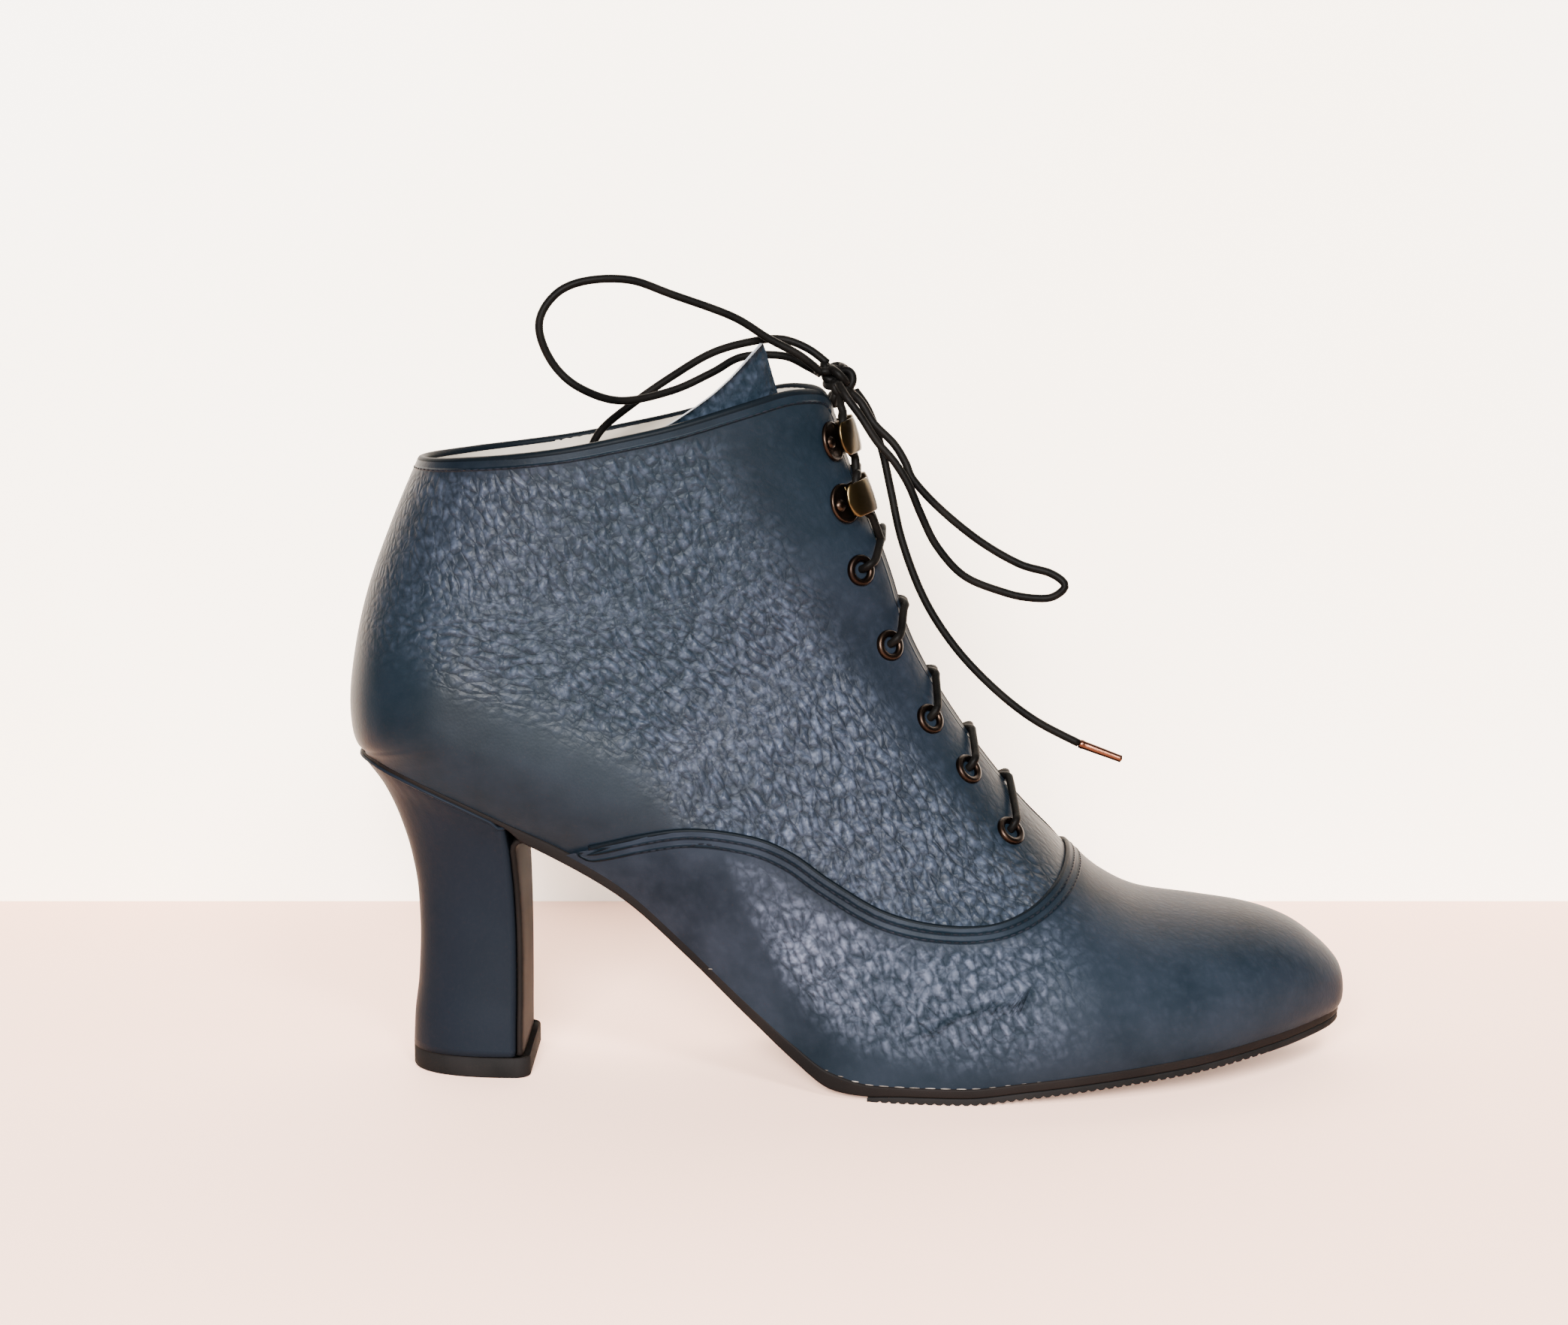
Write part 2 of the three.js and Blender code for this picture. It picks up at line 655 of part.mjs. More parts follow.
function ringOf(position) {
  const section = sectionAt(position);
  const run = new THREE.Vector3().subVectors(section.front, section.low).normalize();
  const bottom = section.low.clone().addScaledVector(run, -bottomDrop * section.seat);
  bottom.y = section.sway;
  const crest = section.front.clone();
  crest.y = section.sway;
  return [bottom, ...sidePoints(section, -1), crest, ...sidePoints(section, 1).reverse()];
}

// Rows at which rings are drawn: closer where the vamp turns up into the instep
const [turnStart, turnEnd] = [4, 10];
const turnStep = 2 / 3;
const ringPositions = [];
for (let position = 0; position < sectionRows.length; ) {
  ringPositions.push(position);
  position += position >= turnStart && position < turnEnd ? turnStep : 1;
}
const lastGrid = ringPositions.map(ringOf);

// The grid moved out along its own normals; the toe's closing line moves straight ahead
function offsetGrid(grid, distance) {
  const count = grid[0].length;
  return grid.map((ring, i) =>
    ring.map((point, j) => {
      if (i === 0) return point.clone().add(new THREE.Vector3(distance, 0, 0));
      const next = grid[Math.min(i + 1, grid.length - 1)][j];
      const across = new THREE.Vector3().subVectors(next, grid[i - 1][j]);
      const around = new THREE.Vector3().subVectors(ring[(j + 1) % count], ring[(j + count - 1) % count]);
      const normal = new THREE.Vector3().crossVectors(around, across).normalize();
      return point.clone().addScaledVector(normal, distance);
    }),
  );
}

const outerForm = loft(lastGrid, false);
const innerForm = loft(offsetGrid(lastGrid, -wall), false);
const vampForm = loft(offsetGrid(lastGrid, vampStep), false);

// The region below the sole's upper face and a clearance
const farBelow = -50;
const belowLine = (heightOf, clearance) => [
  ...ruledXs.map((x) => [x, heightOf(x) + clearance]),
  [toeTip + margin, farBelow],
  [heelTip - margin, farBelow],
];
const underSoleTop = prism(belowLine(soleTopAt, gap));

// The region above the collar's edge
const collarBack = soleTopAt(xAt(collarRows[1].along)) + quarterHeight;
const collarSteps = 2;
const collarLine = [];
for (let step = 0; step <= (collarRows.length - 1) * collarSteps; step += 1) {
  const row = rowAt(collarRows, step / collarSteps);
  collarLine.push([xAt(row.along), collarBack + row.climb * collarClimb]);
}
const farAbove = 2 * frontHeight;
const frontReach = xAt(0.7);
const aboveCollar = prism([
  ...collarLine,
  [frontReach, collarLine[collarLine.length - 1][1]],
  [frontReach, farAbove],
  [collarLine[0][0], farAbove],
]);

// The vamp's region: all that lies below and ahead of its folded edge
const edgeSteps = 2;
const edgeLean = 0.6;
const vampHeadroom = 20;
const vampLine = [];
for (let step = 0; step <= (vampEdgeRows.length - 1) * edgeSteps; step += 1) {
  const row = rowAt(vampEdgeRows, step / edgeSteps);
  vampLine.push([xAt(row.along), row.up * frontHeight]);
}
const [vampEndX, vampEndZ] = vampLine[vampLine.length - 1];
const vampRegion = prism([
  ...vampLine,
  [vampEndX + edgeLean, vampEndZ + vampHeadroom],
  [toeTip + margin, vampEndZ + vampHeadroom],
  [toeTip + margin, farBelow],
  [vampLine[0][0], farBelow],
]);

// The lacing slot between the facings, cut through the front of the quarters; it opens from a
// share of its width at the throat to the full width slotFlare rows higher up
const slotStart = 9.6;
const slotStep = 0.7;
const slotFoot = 0.55;
const slotFlare = 5;
const slotDepths = [-14, 8];
const slotRings = [];
for (let position = slotStart; position <= sectionRows.length - 1; position += slotStep) {
  const section = sectionAt(position);
  const run = new THREE.Vector3().subVectors(section.front, section.low).normalize();
  const opening = (lacingGap / 2) * clamp(slotFoot + (position - slotStart) / slotFlare, 0, 1);
  const [inside, outside] = slotDepths.map((reach) => section.front.clone().addScaledVector(run, reach));
  const corner = (base, side) => new THREE.Vector3(base.x, section.sway + side * opening, base.z);
  slotRings.push([corner(inside, -1), corner(inside, 1), corner(outside, 1), corner(outside, -1)]);
}
const slot = loft(slotRings);

const quarters = outerForm.subtract(innerForm).subtract(slot);
const vamp = vampForm.subtract(innerForm).intersect(vampRegion);
const wholeUpper = quarters.add(vamp).subtract(aboveCollar).subtract(underSoleTop);

// A point on the last's outside and its normal; across runs from -1 at the lateral widest
// line through 0 at the crest to 1 at the medial one
const probe = 0.02;
function surfacePoint(position, across) {
  const section = sectionAt(position);
  const side = across < 0 ? -1 : 1;
  return sectionPoint(section, side, Math.PI - (Math.abs(across) * Math.PI) / 2, 0);
}
function surfaceFrame(position, across) {
  const point = surfacePoint(position, across);
  const up = surfacePoint(position + probe, across).sub(surfacePoint(position - probe, across));
  const over = surfacePoint(position, across + probe).sub(surfacePoint(position, across - probe));
  const normal = new THREE.Vector3().crossVectors(over, up).normalize();
  return { point, normal, up: up.normalize() };
}

// A solid drawn with x towards the throat and z outward, set on the last on one side
const eyeletSides = 8;
const sides = { lateral: -1, medial: 1 };
function seatAt(row, across, side) {
  const { point, normal, up } = surfaceFrame(row, side * across);
  const toward = new THREE.Vector3().crossVectors(up, normal).multiplyScalar(-side).normalize();
  return { point, normal, up, toward };
}
function place(geometry, row, across, side) {
  const { point, normal, toward } = seatAt(row, across, side);
  const beside = new THREE.Vector3().crossVectors(normal, toward);
  const seat = new THREE.Matrix4().makeBasis(toward, beside, normal).setPosition(point);
  return solidFromGeometry(geometry.clone().applyMatrix4(seat));
}

// An eyelet: a flange over the leather and a barrel through it
const barrelRadius = eyeletHole + barrelWall;
const barrelFoot = -wall;
const crownShare = 0.6;
const mouthRound = 0.2;
const eyeletProfile = [
  [eyeletHole, barrelFoot],
  [barrelRadius, barrelFoot],
  [barrelRadius, gap],
  [eyeletRadius, gap],
  [mix(barrelRadius, eyeletRadius, crownShare), gap + flangeThickness],
  [eyeletHole + mouthRound, gap + flangeThickness],
  [eyeletHole, barrelFoot],
].map(([r, z]) => new THREE.Vector2(r, z));
const eyeletForm = new THREE.LatheGeometry(eyeletProfile, eyeletSides).rotateX(Math.PI / 2);
const eyeletCut = new THREE.CylinderGeometry(barrelRadius + gap, barrelRadius + gap, 4 * wall, eyeletSides);
eyeletCut.rotateX(Math.PI / 2);

const eyeletSeats = Object.entries(sides).flatMap(([name, side]) =>
  eyeletRows.map(({ row, across }, i) => ({ name: `eyelet_${name}_${i + 1}`, row, across, side })),
);
const holes = eyeletSeats.map(({ row, across, side }) => place(eyeletCut, row, across, side));
const upper = holes.reduce((solid, hole) => solid.subtract(hole), wholeUpper);

// A speed hook: a disc on the leather with a tab that bends up at the throat and back over it
const discThickness = 0.6;
const [discReach, discBreadth, discShift] = [4.6, 4.8, -0.6];
const discSides = 8;
const hookDisc = new THREE.CylinderGeometry(1, 1, discThickness, discSides).rotateX(Math.PI / 2);
hookDisc.scale(discReach, discBreadth, 1).translate(discShift, 0, gap + discThickness / 2);
// The tab's outline seen from its side: x towards the throat, z outward
const hookOutline = [
  [-0.5, 0],
  [3.9, 0],
  [5.1, 0.7],
  [5.5, 2.1],
  [5.1, 3.5],
  [3.9, 4.2],
  [1.6, 4.4],
  [-1.4, 3.9],
  [-1.4, 3.2],
  [1.6, 3.6],
  [3.5, 3.4],
  [4.4, 2.8],
  [4.6, 2.1],
  [4.3, 1.2],
  [3.5, discThickness],
  [-0.5, discThickness],
].map(([x, z]) => new THREE.Vector2(x, z));
const hookShape = new THREE.Shape(hookOutline);
const hookTab = new THREE.ExtrudeGeometry(hookShape, { depth: hookLength, bevelEnabled: false });
hookTab.rotateX(Math.PI / 2).translate(0, hookLength / 2, gap);
const hookSeats = Object.entries(sides).flatMap(([name, side]) =>
  hookRows.map(({ row, across }, i) => ({ name: `hook_${name}_${i + 1}`, row, across, side })),
);
const hookAt = ({ row, across, side }) =>
  place(hookTab, row, across, side).add(place(hookDisc, row, across, side));

// A tube through hand-set points, its rings turned half way at each bend
const laceRadius = laceDiameter / 2;
const strandAside = new THREE.Vector3(1, 0, 0.15);
function strand(points, facets = 5) {
  const rings = points.map((point, i) => {
    const before = points[Math.max(i - 1, 0)];
    const after = points[Math.min(i + 1, points.length - 1)];
    const ahead = new THREE.Vector3().subVectors(after, before).normalize();
    const outward = strandAside.clone().cross(ahead).normalize();
    const third = new THREE.Vector3().crossVectors(ahead, outward);
    return Array.from({ length: facets }, (_, k) => {
      const angle = (k / facets) * 2 * Math.PI;
      return point
        .clone()
        .addScaledVector(outward, laceRadius * Math.cos(angle))
        .addScaledVector(third, laceRadius * Math.sin(angle));
    });
  });
  return loft(rings);
}

// Where a lace passes: a distance to one side of the crest at a row, lifted off the last
function besideCrest(row, distance, lift) {
  const section = sectionAt(row);
  const half = distance < 0 ? section.lateral : section.medial;
  const angle = Math.asin(clamp(Math.abs(distance) / half, 0, 1) ** (section.over / 2));
  const { point, normal } = surfaceFrame(row, (Math.sign(distance) * angle) / (Math.PI / 2));
  return point.addScaledVector(normal, lift);
}
function besideSeat({ row, across, side }, toward, along, lift) {
  const seat = seatAt(row, across, side);
  return seat.point
    .addScaledVector(seat.toward, toward)
    .addScaledVector(seat.up, along)
    .addScaledVector(seat.normal, lift);
}

// Lifts of the lace over and under the leather, and its way out of an eyelet
const overLift = laceRadius + 1.5 * gap;
const underLift = -wall - laceRadius - 2 * gap;
const rimLift = gap + flangeThickness + laceRadius + gap;
const halfGap = lacingGap / 2;

// Up through an eyelet's hole, then leaning over its rim towards the throat
const outSteps = [
  { toward: 0, along: 0, lift: underLift },
  { toward: 0, along: 0, lift: 1.2 },
  { toward: 1.9, along: 0.6, lift: rimLift + gap },
  { toward: 4.4, along: 1.5, lift: rimLift - gap },
];
const outOf = (seat) => outSteps.map(({ toward, along, lift }) => besideSeat(seat, toward, along, lift));

// Over a facing's edge: the share of the way between two rows and the distance past the edge
const facingSteps = [
  { share: 0.36, past: 1.6, lift: overLift },
  { share: 0.43, past: -0.4, lift: overLift - gap / 3 },
];
const overEdge = (from, to, side) =>
  facingSteps.map(({ share, past, lift }) => {
    return besideCrest(mix(from, to, share), side * (halfGap + past), lift);
  });

// Below the crossing strand, through the slot and under the facing on the other side
const pastCrest = 0.01;
const crossingOrder = 0.35;
const crossingDrop = 0.9;
const crossingRise = 0.4;
const underSteps = [
  { share: 0.55, distance: 1.7, lift: underLift + 0.55 },
  { share: 0.6, distance: halfGap + 0.8, lift: underLift },
];
const underSeat = { toward: 2.6, along: -1 };

// From a facing's edge down through the slot and up under the next seat on the other side
function crossUnder(seat, next) {
  const { side } = seat;
  const at = (share) => mix(seat.row, next.row, share);
  return [
    ...overEdge(seat.row, next.row, side),
    besideCrest(at(0.5), side * pastCrest, side * crossingOrder - crossingDrop),
    ...underSteps.map(({ share, distance, lift }) => besideCrest(at(share), -side * distance, lift)),
    besideSeat(next, underSeat.toward, underSeat.along, underLift),
  ];
}
// From a facing's edge to the other one, all outside
const crossOver = (from, to, side) => [
  ...overEdge(from, to, side),
  besideCrest(mix(from, to, 0.5), side * pastCrest, side * crossingOrder + overLift - crossingRise),
  ...overEdge(from, to, -side).reverse(),
];

// Round behind a hook's stem
const hookLift = gap + discThickness + laceRadius + gap;
const stemSide = 2.3;
const hookHalf = hookLength / 2;
const hookPasses = [
  { toward: stemSide + 1.6, along: -hookHalf - 2 },
  { toward: stemSide, along: -hookHalf },
  { toward: stemSide, along: hookHalf },
  { toward: stemSide + 1.6, along: hookHalf + 2 },
];
const aroundHook = (seat) => hookPasses.map(({ toward, along }) => besideSeat(seat, toward, along, hookLift));

// The knot, and where each lace reaches its side
const knotAt = new THREE.Vector3(...knotCentre);
const knotRadii = [4, 4.2, 4];
const knotRow = 23.6;
const knotFacets = [10, 6];
const knotGeometry = new THREE.SphereGeometry(1, ...knotFacets).scale(...knotRadii).translate(...knotCentre);
const knot = solidFromGeometry(knotGeometry);
function toKnot(side) {
  const start = besideCrest(knotRow, side * (halfGap + 2 * gap), overLift + 2 * gap);
  const away = new THREE.Vector3().subVectors(start, knotAt).setLength(Math.max(...knotRadii) + gap);
  return [start, knotAt.clone().add(away)];
}

// Half of the lace: from the bar under the lowest eyelets, crossing from side to side, to the knot
const seatOf = (seats, side, i) => seats.filter((seat) => seat.side === side)[i];
const barSteps = [-0.8, halfGap + 1, halfGap + 6];
function laceHalf(firstSide) {
  const first = seatOf(eyeletSeats, firstSide, 0);
  let [seat, side] = [first, firstSide];
  const points = [
    ...barSteps.map((distance) => besideCrest(first.row, side * distance, underLift)),
    ...outOf(first),
  ];
  for (let i = 1; i < eyeletRows.length; i += 1) {
    const next = seatOf(eyeletSeats, -side, i);
    points.push(...crossUnder(seat, next), ...outOf(next));
    [seat, side] = [next, -side];
  }
  for (let i = 0; i < hookRows.length; i += 1) {
    const next = seatOf(hookSeats, -side, i);
    points.push(...crossOver(seat.row, next.row, side), ...aroundHook(next));
    [seat, side] = [next, -side];
  }
  return strand([...points, ...toKnot(side)]);
}
const crossings = laceHalf(sides.lateral).add(laceHalf(sides.medial));

// A free cord along its route, and the metal tip on the front end
const cordSides = 8;
const cordShape = new THREE.Shape(
  Array.from({ length: cordSides }, (_, k) => {
    const angle = ((k + 0.5) / cordSides) * 2 * Math.PI;
    return new THREE.Vector2(laceRadius * Math.cos(angle), laceRadius * Math.sin(angle));
  }),
);
function cordSolid(name) {
  const extrudePath = new THREE.CatmullRomCurve3(cordRoutes[name].map((p) => new THREE.Vector3(...p)));
  const options = { steps: cordSteps[name], bevelEnabled: false, extrudePath };
  return solidFromGeometry(new THREE.ExtrudeGeometry(cordShape, options));
}
const cordTip = new THREE.Vector3(...cordRoutes.lace_end_front[cordRoutes.lace_end_front.length - 1]);
const agletPoint = new THREE.Vector3(...agletEnd);
const agletStart = cordTip.clone().add(agletPoint.clone().sub(cordTip).setLength(1.5 * gap));
const aglet = strand([agletStart, agletPoint], cordSides);

// A closed sheet between an outer and an inner grid of points
function sheet(outer, inner) {
  const triangles = [];
  const quad = (a, b, c, d) => triangles.push([a, b, c], [a, c, d]);
  const [rows, columns] = [outer.length, outer[0].length];
  for (let i = 0; i + 1 < rows; i += 1) {
    for (let k = 0; k + 1 < columns; k += 1) {
      quad(outer[i][k], outer[i][k + 1], outer[i + 1][k + 1], outer[i + 1][k]);
      quad(inner[i][k], inner[i + 1][k], inner[i + 1][k + 1], inner[i][k + 1]);
    }
    const last = columns - 1;
    quad(outer[i][0], outer[i + 1][0], inner[i + 1][0], inner[i][0]);
    quad(outer[i][last], inner[i][last], inner[i + 1][last], outer[i + 1][last]);
  }
  for (let k = 0; k + 1 < columns; k += 1) {
    const last = rows - 1;
    quad(outer[0][k], inner[0][k], inner[0][k + 1], outer[0][k + 1]);
    quad(outer[last][k], outer[last][k + 1], inner[last][k + 1], inner[last][k]);
  }
  return solidFromTriangles(triangles);
}

// The tongue: it hangs clear of the facing, to leave room for the lace, and closes up to the
// wall towards its edges and under the vamp
const smooth = (low, high, value) => {
  const f = clamp((value - low) / (high - low), 0, 1);
  return f * f * (3 - 2 * f);
};
const [facingEnd, facingFade] = [0.36, 0.52];
const [throatStart, throatFade] = [9.0, 10.4];
function tongueDepth(position, across) {
  const nearFacing = 1 - smooth(facingEnd, facingFade, Math.abs(across));
  const aboveThroat = smooth(throatStart, throatFade, position);
  return wall + mix(tongueGap, laceRoom, nearFacing * aboveThroat);
}
function tonguePoint(i, column, extra) {
  const end = tongueTopRows[column].row;
  const position = mix(tongueStart, end, i / tongueSteps);
  const side = tongueTopRows[column].across;
  const across = side * follow(tongueRows, "row", side < 0 ? "near" : "far", position);
  const { point, normal } = surfaceFrame(position, across);
  return point.addScaledVector(normal, -tongueDepth(position, across) - extra);
}
const tongueFace = (extra) =>
  Array.from({ length: tongueSteps + 1 }, (_, i) =>
    tongueTopRows.map((_, column) => tonguePoint(i, column, extra)),
  );
const tongue = sheet(tongueFace(0), tongueFace(tongueThickness));

// An outline in plan, carried straight up from z0 to z1
function column(points, z0, z1) {
  const shape = new THREE.Shape(points.map(([x, y]) => new THREE.Vector2(x, y)));
  const geometry = new THREE.ExtrudeGeometry(shape, { depth: z1 - z0, bevelEnabled: false, steps: 1 });
  geometry.translate(0, 0, z0);
  return solidFromGeometry(geometry);
}

// The sole's outline in plan, moved in by a distance and, if asked, by its bare ledge
function soleOutline(distance, ledgeShare) {
  const near = stations.map((s) => ({ x: s.x, y: s.lateral, ledge: s.ledge }));
  const far = stations.slice(1, -1).map((s) => ({ x: s.x, y: s.medial, ledge: s.ledge }));
  const loop = [...near, ...far.reverse()];
  return loop.map((p, i) => {
    const before = loop[(i + loop.length - 1) % loop.length];
    const after = loop[(i + 1) % loop.length];
    const [tx, ty] = [after.x - before.x, after.y - before.y];
    const scale = (distance + ledgeShare * p.ledge) / Math.hypot(tx, ty);
    return [p.x - ty * scale, p.y + tx * scale];
  });
}

// The outsole: one plate from seat to toe with the flap that covers the heel's breast
const soleXs = stations.map((station) => station.x);
const edgeAt = (name) => (x) => stationAt(x, name);
const solePlate = plate(soleXs, soleTopAt, soleBottomAt, edgeAt("lateral"), edgeAt("medial"));

const heelBottom = liftThickness + gap;
const breastFrontAt = (down) => mix(xAt(breastTop), xAt(breastFoot), follow(heelRows, "down", "move", down));
const breastSeatZ = soleBottomAt(xAt(breastTop) - flapThickness);
const breastZAt = (down) => mix(breastSeatZ, heelBottom, down);

// Half width of the heel's breast at a share of the way down
const breastTaper = 0.96;
const seatHalf = (name) => Math.abs(stationAt(xAt(breastTop), name));
const breastHalfAt = (down, name) =>
  mix(seatHalf(name), liftHalfWidth * ballWidth * breastTaper, follow(heelRows, "down", "move", down));

// The flap's front face: straight down the breast, curling forward into the sole at the top
const curlRun = 7.5;
const curlDrop = 6.5;
const curlFoot = 0.12;
const curlFacets = 6;
const flapDowns = [1, 0.8, 0.6, 0.4, 0.25];
const flapFront = flapDowns.map((down) => [breastFrontAt(down), breastZAt(down)]);
const curlEnd = xAt(breastTop) + curlRun;
const curl = new THREE.QuadraticBezierCurve(
  new THREE.Vector2(breastFrontAt(curlFoot), breastSeatZ - curlDrop),
  new THREE.Vector2(xAt(breastTop), soleBottomAt(xAt(breastTop) + flapThickness)),
  new THREE.Vector2(curlEnd, soleBottomAt(curlEnd)),
);
const curlPoints = curl.getPoints(curlFacets).map((p) => [p.x, p.y]);
const flapBack = [...flapFront].reverse().map(([x, z]) => [x - flapThickness, z]);
const plateDepth = 0.6;
const flapOutline = [
  ...flapFront,
  ...curlPoints,
  [curlEnd, soleTopAt(curlEnd) - plateDepth],
  [xAt(breastTop) - flapThickness, soleTopAt(xAt(breastTop) - flapThickness) - plateDepth],
  ...flapBack,
];

// The flap stays inside the breast's two side edges, between these shares of the way down
const flapInset = 0.7;
const [windowBehind, windowAhead] = [8, 2];
const windowDowns = [-0.25, 0, 0.15, 0.3, 0.45, 0.6, 0.8, 1.02];
const windowRings = windowDowns.map((down) => {
  const z = mix(breastSeatZ, heelBottom, down);
  const near = -breastHalfAt(down, "lateral") + flapInset;
  const far = breastHalfAt(down, "medial") - flapInset;
  const [back, front] = [xAt(breastTop) - windowBehind, curlEnd + windowAhead];
  return [
    new THREE.Vector3(back, near, z),
    new THREE.Vector3(front, near, z),
    new THREE.Vector3(front, far, z),
    new THREE.Vector3(back, far, z),
  ];
});
const flap = prism(flapOutline).intersect(loft(windowRings));
const outsole = solePlate.add(flap);

// The heel: the seat's outline drawn in to the lift's on the way down, flat at the breast.
// reach moves the front edge ahead of the breast's back face, corner rounds its two ends.
const cornerShares = [
  { back: 0, inward: 1 },
  { back: 0.3, inward: 0.3 },
  { back: 1, inward: 0 },
];
const flankPoints = 8;
function heelOutline(down, reach = 0, corner = heelCorner) {
  const move = follow(heelRows, "down", "move", down);
  const front = breastFrontAt(down) - flapThickness - gap + reach;
  const back = mix(heelTip, xAt(liftBack), move);
  const seatFront = xAt(breastTop) - flapThickness - gap;
  const angles = Array.from({ length: flankPoints }, (_, i) => ((i + 1) / flankPoints) * (Math.PI / 2));
  const side = (name, sign) => {
    const frontHalf = mix(Math.abs(stationAt(seatFront, name)), liftHalfWidth * ballWidth, move);
    const corners = cornerShares.map(({ back: behind, inward }) => ({
      x: front - behind * corner,
      seatX: seatFront,
      y: sign * (frontHalf - inward * corner),
    }));
    const flank = angles.map((angle) => {
      const share = Math.sin(angle) ** (2 / heelRoundness);
      const seatX = mix(seatFront, heelTip, share);
      const seatY = Math.abs(stationAt(seatX, name));
      const liftY = liftHalfWidth * ballWidth * Math.cos(angle) ** (2 / heelRoundness);
      return { x: mix(front, back, share), seatX, y: sign * mix(seatY, liftY, move) };
    });
    return [...corners, ...flank];
  };
  const near = side("lateral", -1);
  const far = side("medial", 1).slice(0, -1).reverse();
  return [...near, ...far];
}
const heelSteps = [-0.08, 0, 0.05, 0.108, 0.215, 0.34, 0.47, 0.6, 0.76, 0.9, 1];
const heelRings = heelSteps.map((down) =>
  heelOutline(down).map(({ x, seatX, y }) => {
    const seatZ = soleBottomAt(seatX) - gap;
    return new THREE.Vector3(x, y, mix(seatZ, heelBottom, down));
  }),
);
const aboveSeat = prism([
  ...ruledXs.map((x) => [x, soleBottomAt(x) - gap]),
  [toeTip + margin, farAbove],
  [heelTip - margin, farAbove],
]);
const heel = loft(heelRings).subtract(aboveSeat);

// The lift stands under the heel and the flap's foot, on z = 0
const liftFront = flapThickness + gap + liftReach;
const liftRing = (z) => heelOutline(1, liftFront, liftCorner).map(({ x, y }) => new THREE.Vector3(x, y, z));
const topLift = loft([liftRing(0), liftRing(liftThickness)]);

// The rubber half sole, ribbed across its underside
const halfSoleStart = xAt(0.51);
const ribsEnd = xAt(0.905);
const ribPitch = 2.1;
const ribDepth = 0.5;
const ribGroove = 0.8;
const halfSoleInset = 0.2;
const halfSoleXs = [halfSoleStart, ...soleXs.filter((x) => x > halfSoleStart + gap)];
const undersideAt = (x) => soleTopAt(x) - soleEdge;
const underside = [];
for (const x of halfSoleXs.filter((value) => value >= ribsEnd)) underside.push([x, undersideAt(x)]);
underside.push([toeTip + margin, undersideAt(toeTip + margin)]);
const ribLine = [[halfSoleStart, 0]];
for (let x = halfSoleStart + ribPitch; x < ribsEnd; x += ribPitch) {
  ribLine.push(
    [x - ribGroove, undersideAt(x - ribGroove)],
    [x - ribGroove / 2, undersideAt(x) + ribDepth],
    [x, undersideAt(x)],
  );
}
const halfSoleSide = prism([
  ...ribLine,
  ...underside,
  [toeTip + margin, soleBottomAt(toeTip) - gap],
  ...[...halfSoleXs].reverse().map((x) => [x, soleBottomAt(x) - gap]),
]);
const soleTallness = heelRise + soleEdge;
const underFloor = -1;
const halfSole = halfSoleSide.intersect(column(soleOutline(halfSoleInset, 0), underFloor, soleTallness));

// The insole lies on the sole, inside the wall
const insoleInset = wall + 6 * gap;
const insoleSlab = prism([
  ...ruledXs.map((x) => [x, soleTopAt(x) + gap]),
  ...[...ruledXs].reverse().map((x) => [x, soleTopAt(x) + gap + insoleThickness]),
]);
const insole = insoleSlab.intersect(column(soleOutline(insoleInset, 1), underFloor, 2 * soleTallness));

// Every piece with its material; the whole is centred over the floor's origin, cords left out
const pieces = [];
const addPart = (name, solid, material, isCord = false) => pieces.push({ name, solid, material, isCord });

addPart("upper", upper, leather);
addPart("tongue", tongue, leather);
addPart("insole", insole, lining);
addPart("outsole", outsole, soleLeather);
addPart("half_sole", halfSole, rubber);
addPart("heel", heel, leather);
addPart("top_lift", topLift, rubber);
for (const seat of eyeletSeats) {
  addPart(seat.name, place(eyeletForm, seat.row, seat.across, seat.side), bronze);
}
for (const seat of hookSeats) addPart(seat.name, hookAt(seat), gilt);
addPart("lace_crossings", crossings, lace);
addPart("lace_knot", knot, lace, true);
for (const name of Object.keys(cordRoutes)) addPart(name, cordSolid(name), lace, true);
addPart("aglet", aglet, copper, true);

const reached = new THREE.Box3();
for (const { solid } of pieces.filter((piece) => !piece.isCord)) {
  const { min, max } = solid.boundingBox();
  reached.expandByPoint(new THREE.Vector3(...min)).expandByPoint(new THREE.Vector3(...max));
}
const centre = reached.getCenter(new THREE.Vector3());

const group = new THREE.Group();
for (const { name, solid, material } of pieces) {
  const { vertProperties, triVerts } = solid.getMesh();
  const geometry = new THREE.BufferGeometry();
  geometry.setAttribute("position", new THREE.Float32BufferAttribute(Array.from(vertProperties), 3));
  geometry.setIndex(Array.from(triVerts));
  geometry.translate(-centre.x, -centre.y, 0);
  geometry.computeVertexNormals();
  const mesh = new THREE.Mesh(geometry, material);
  mesh.name = name;
  group.add(mesh);
}

export default group;
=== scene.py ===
"""A right lace-up ankle boot in dark pebbled leather, dressed over its CAD frame.

Shapes are worked out in millimetres, in the CAD source's own axes (+X to the toe, +Y to the
medial side, +Z up), and set into the row frame in metres by to_frame().
"""

import math

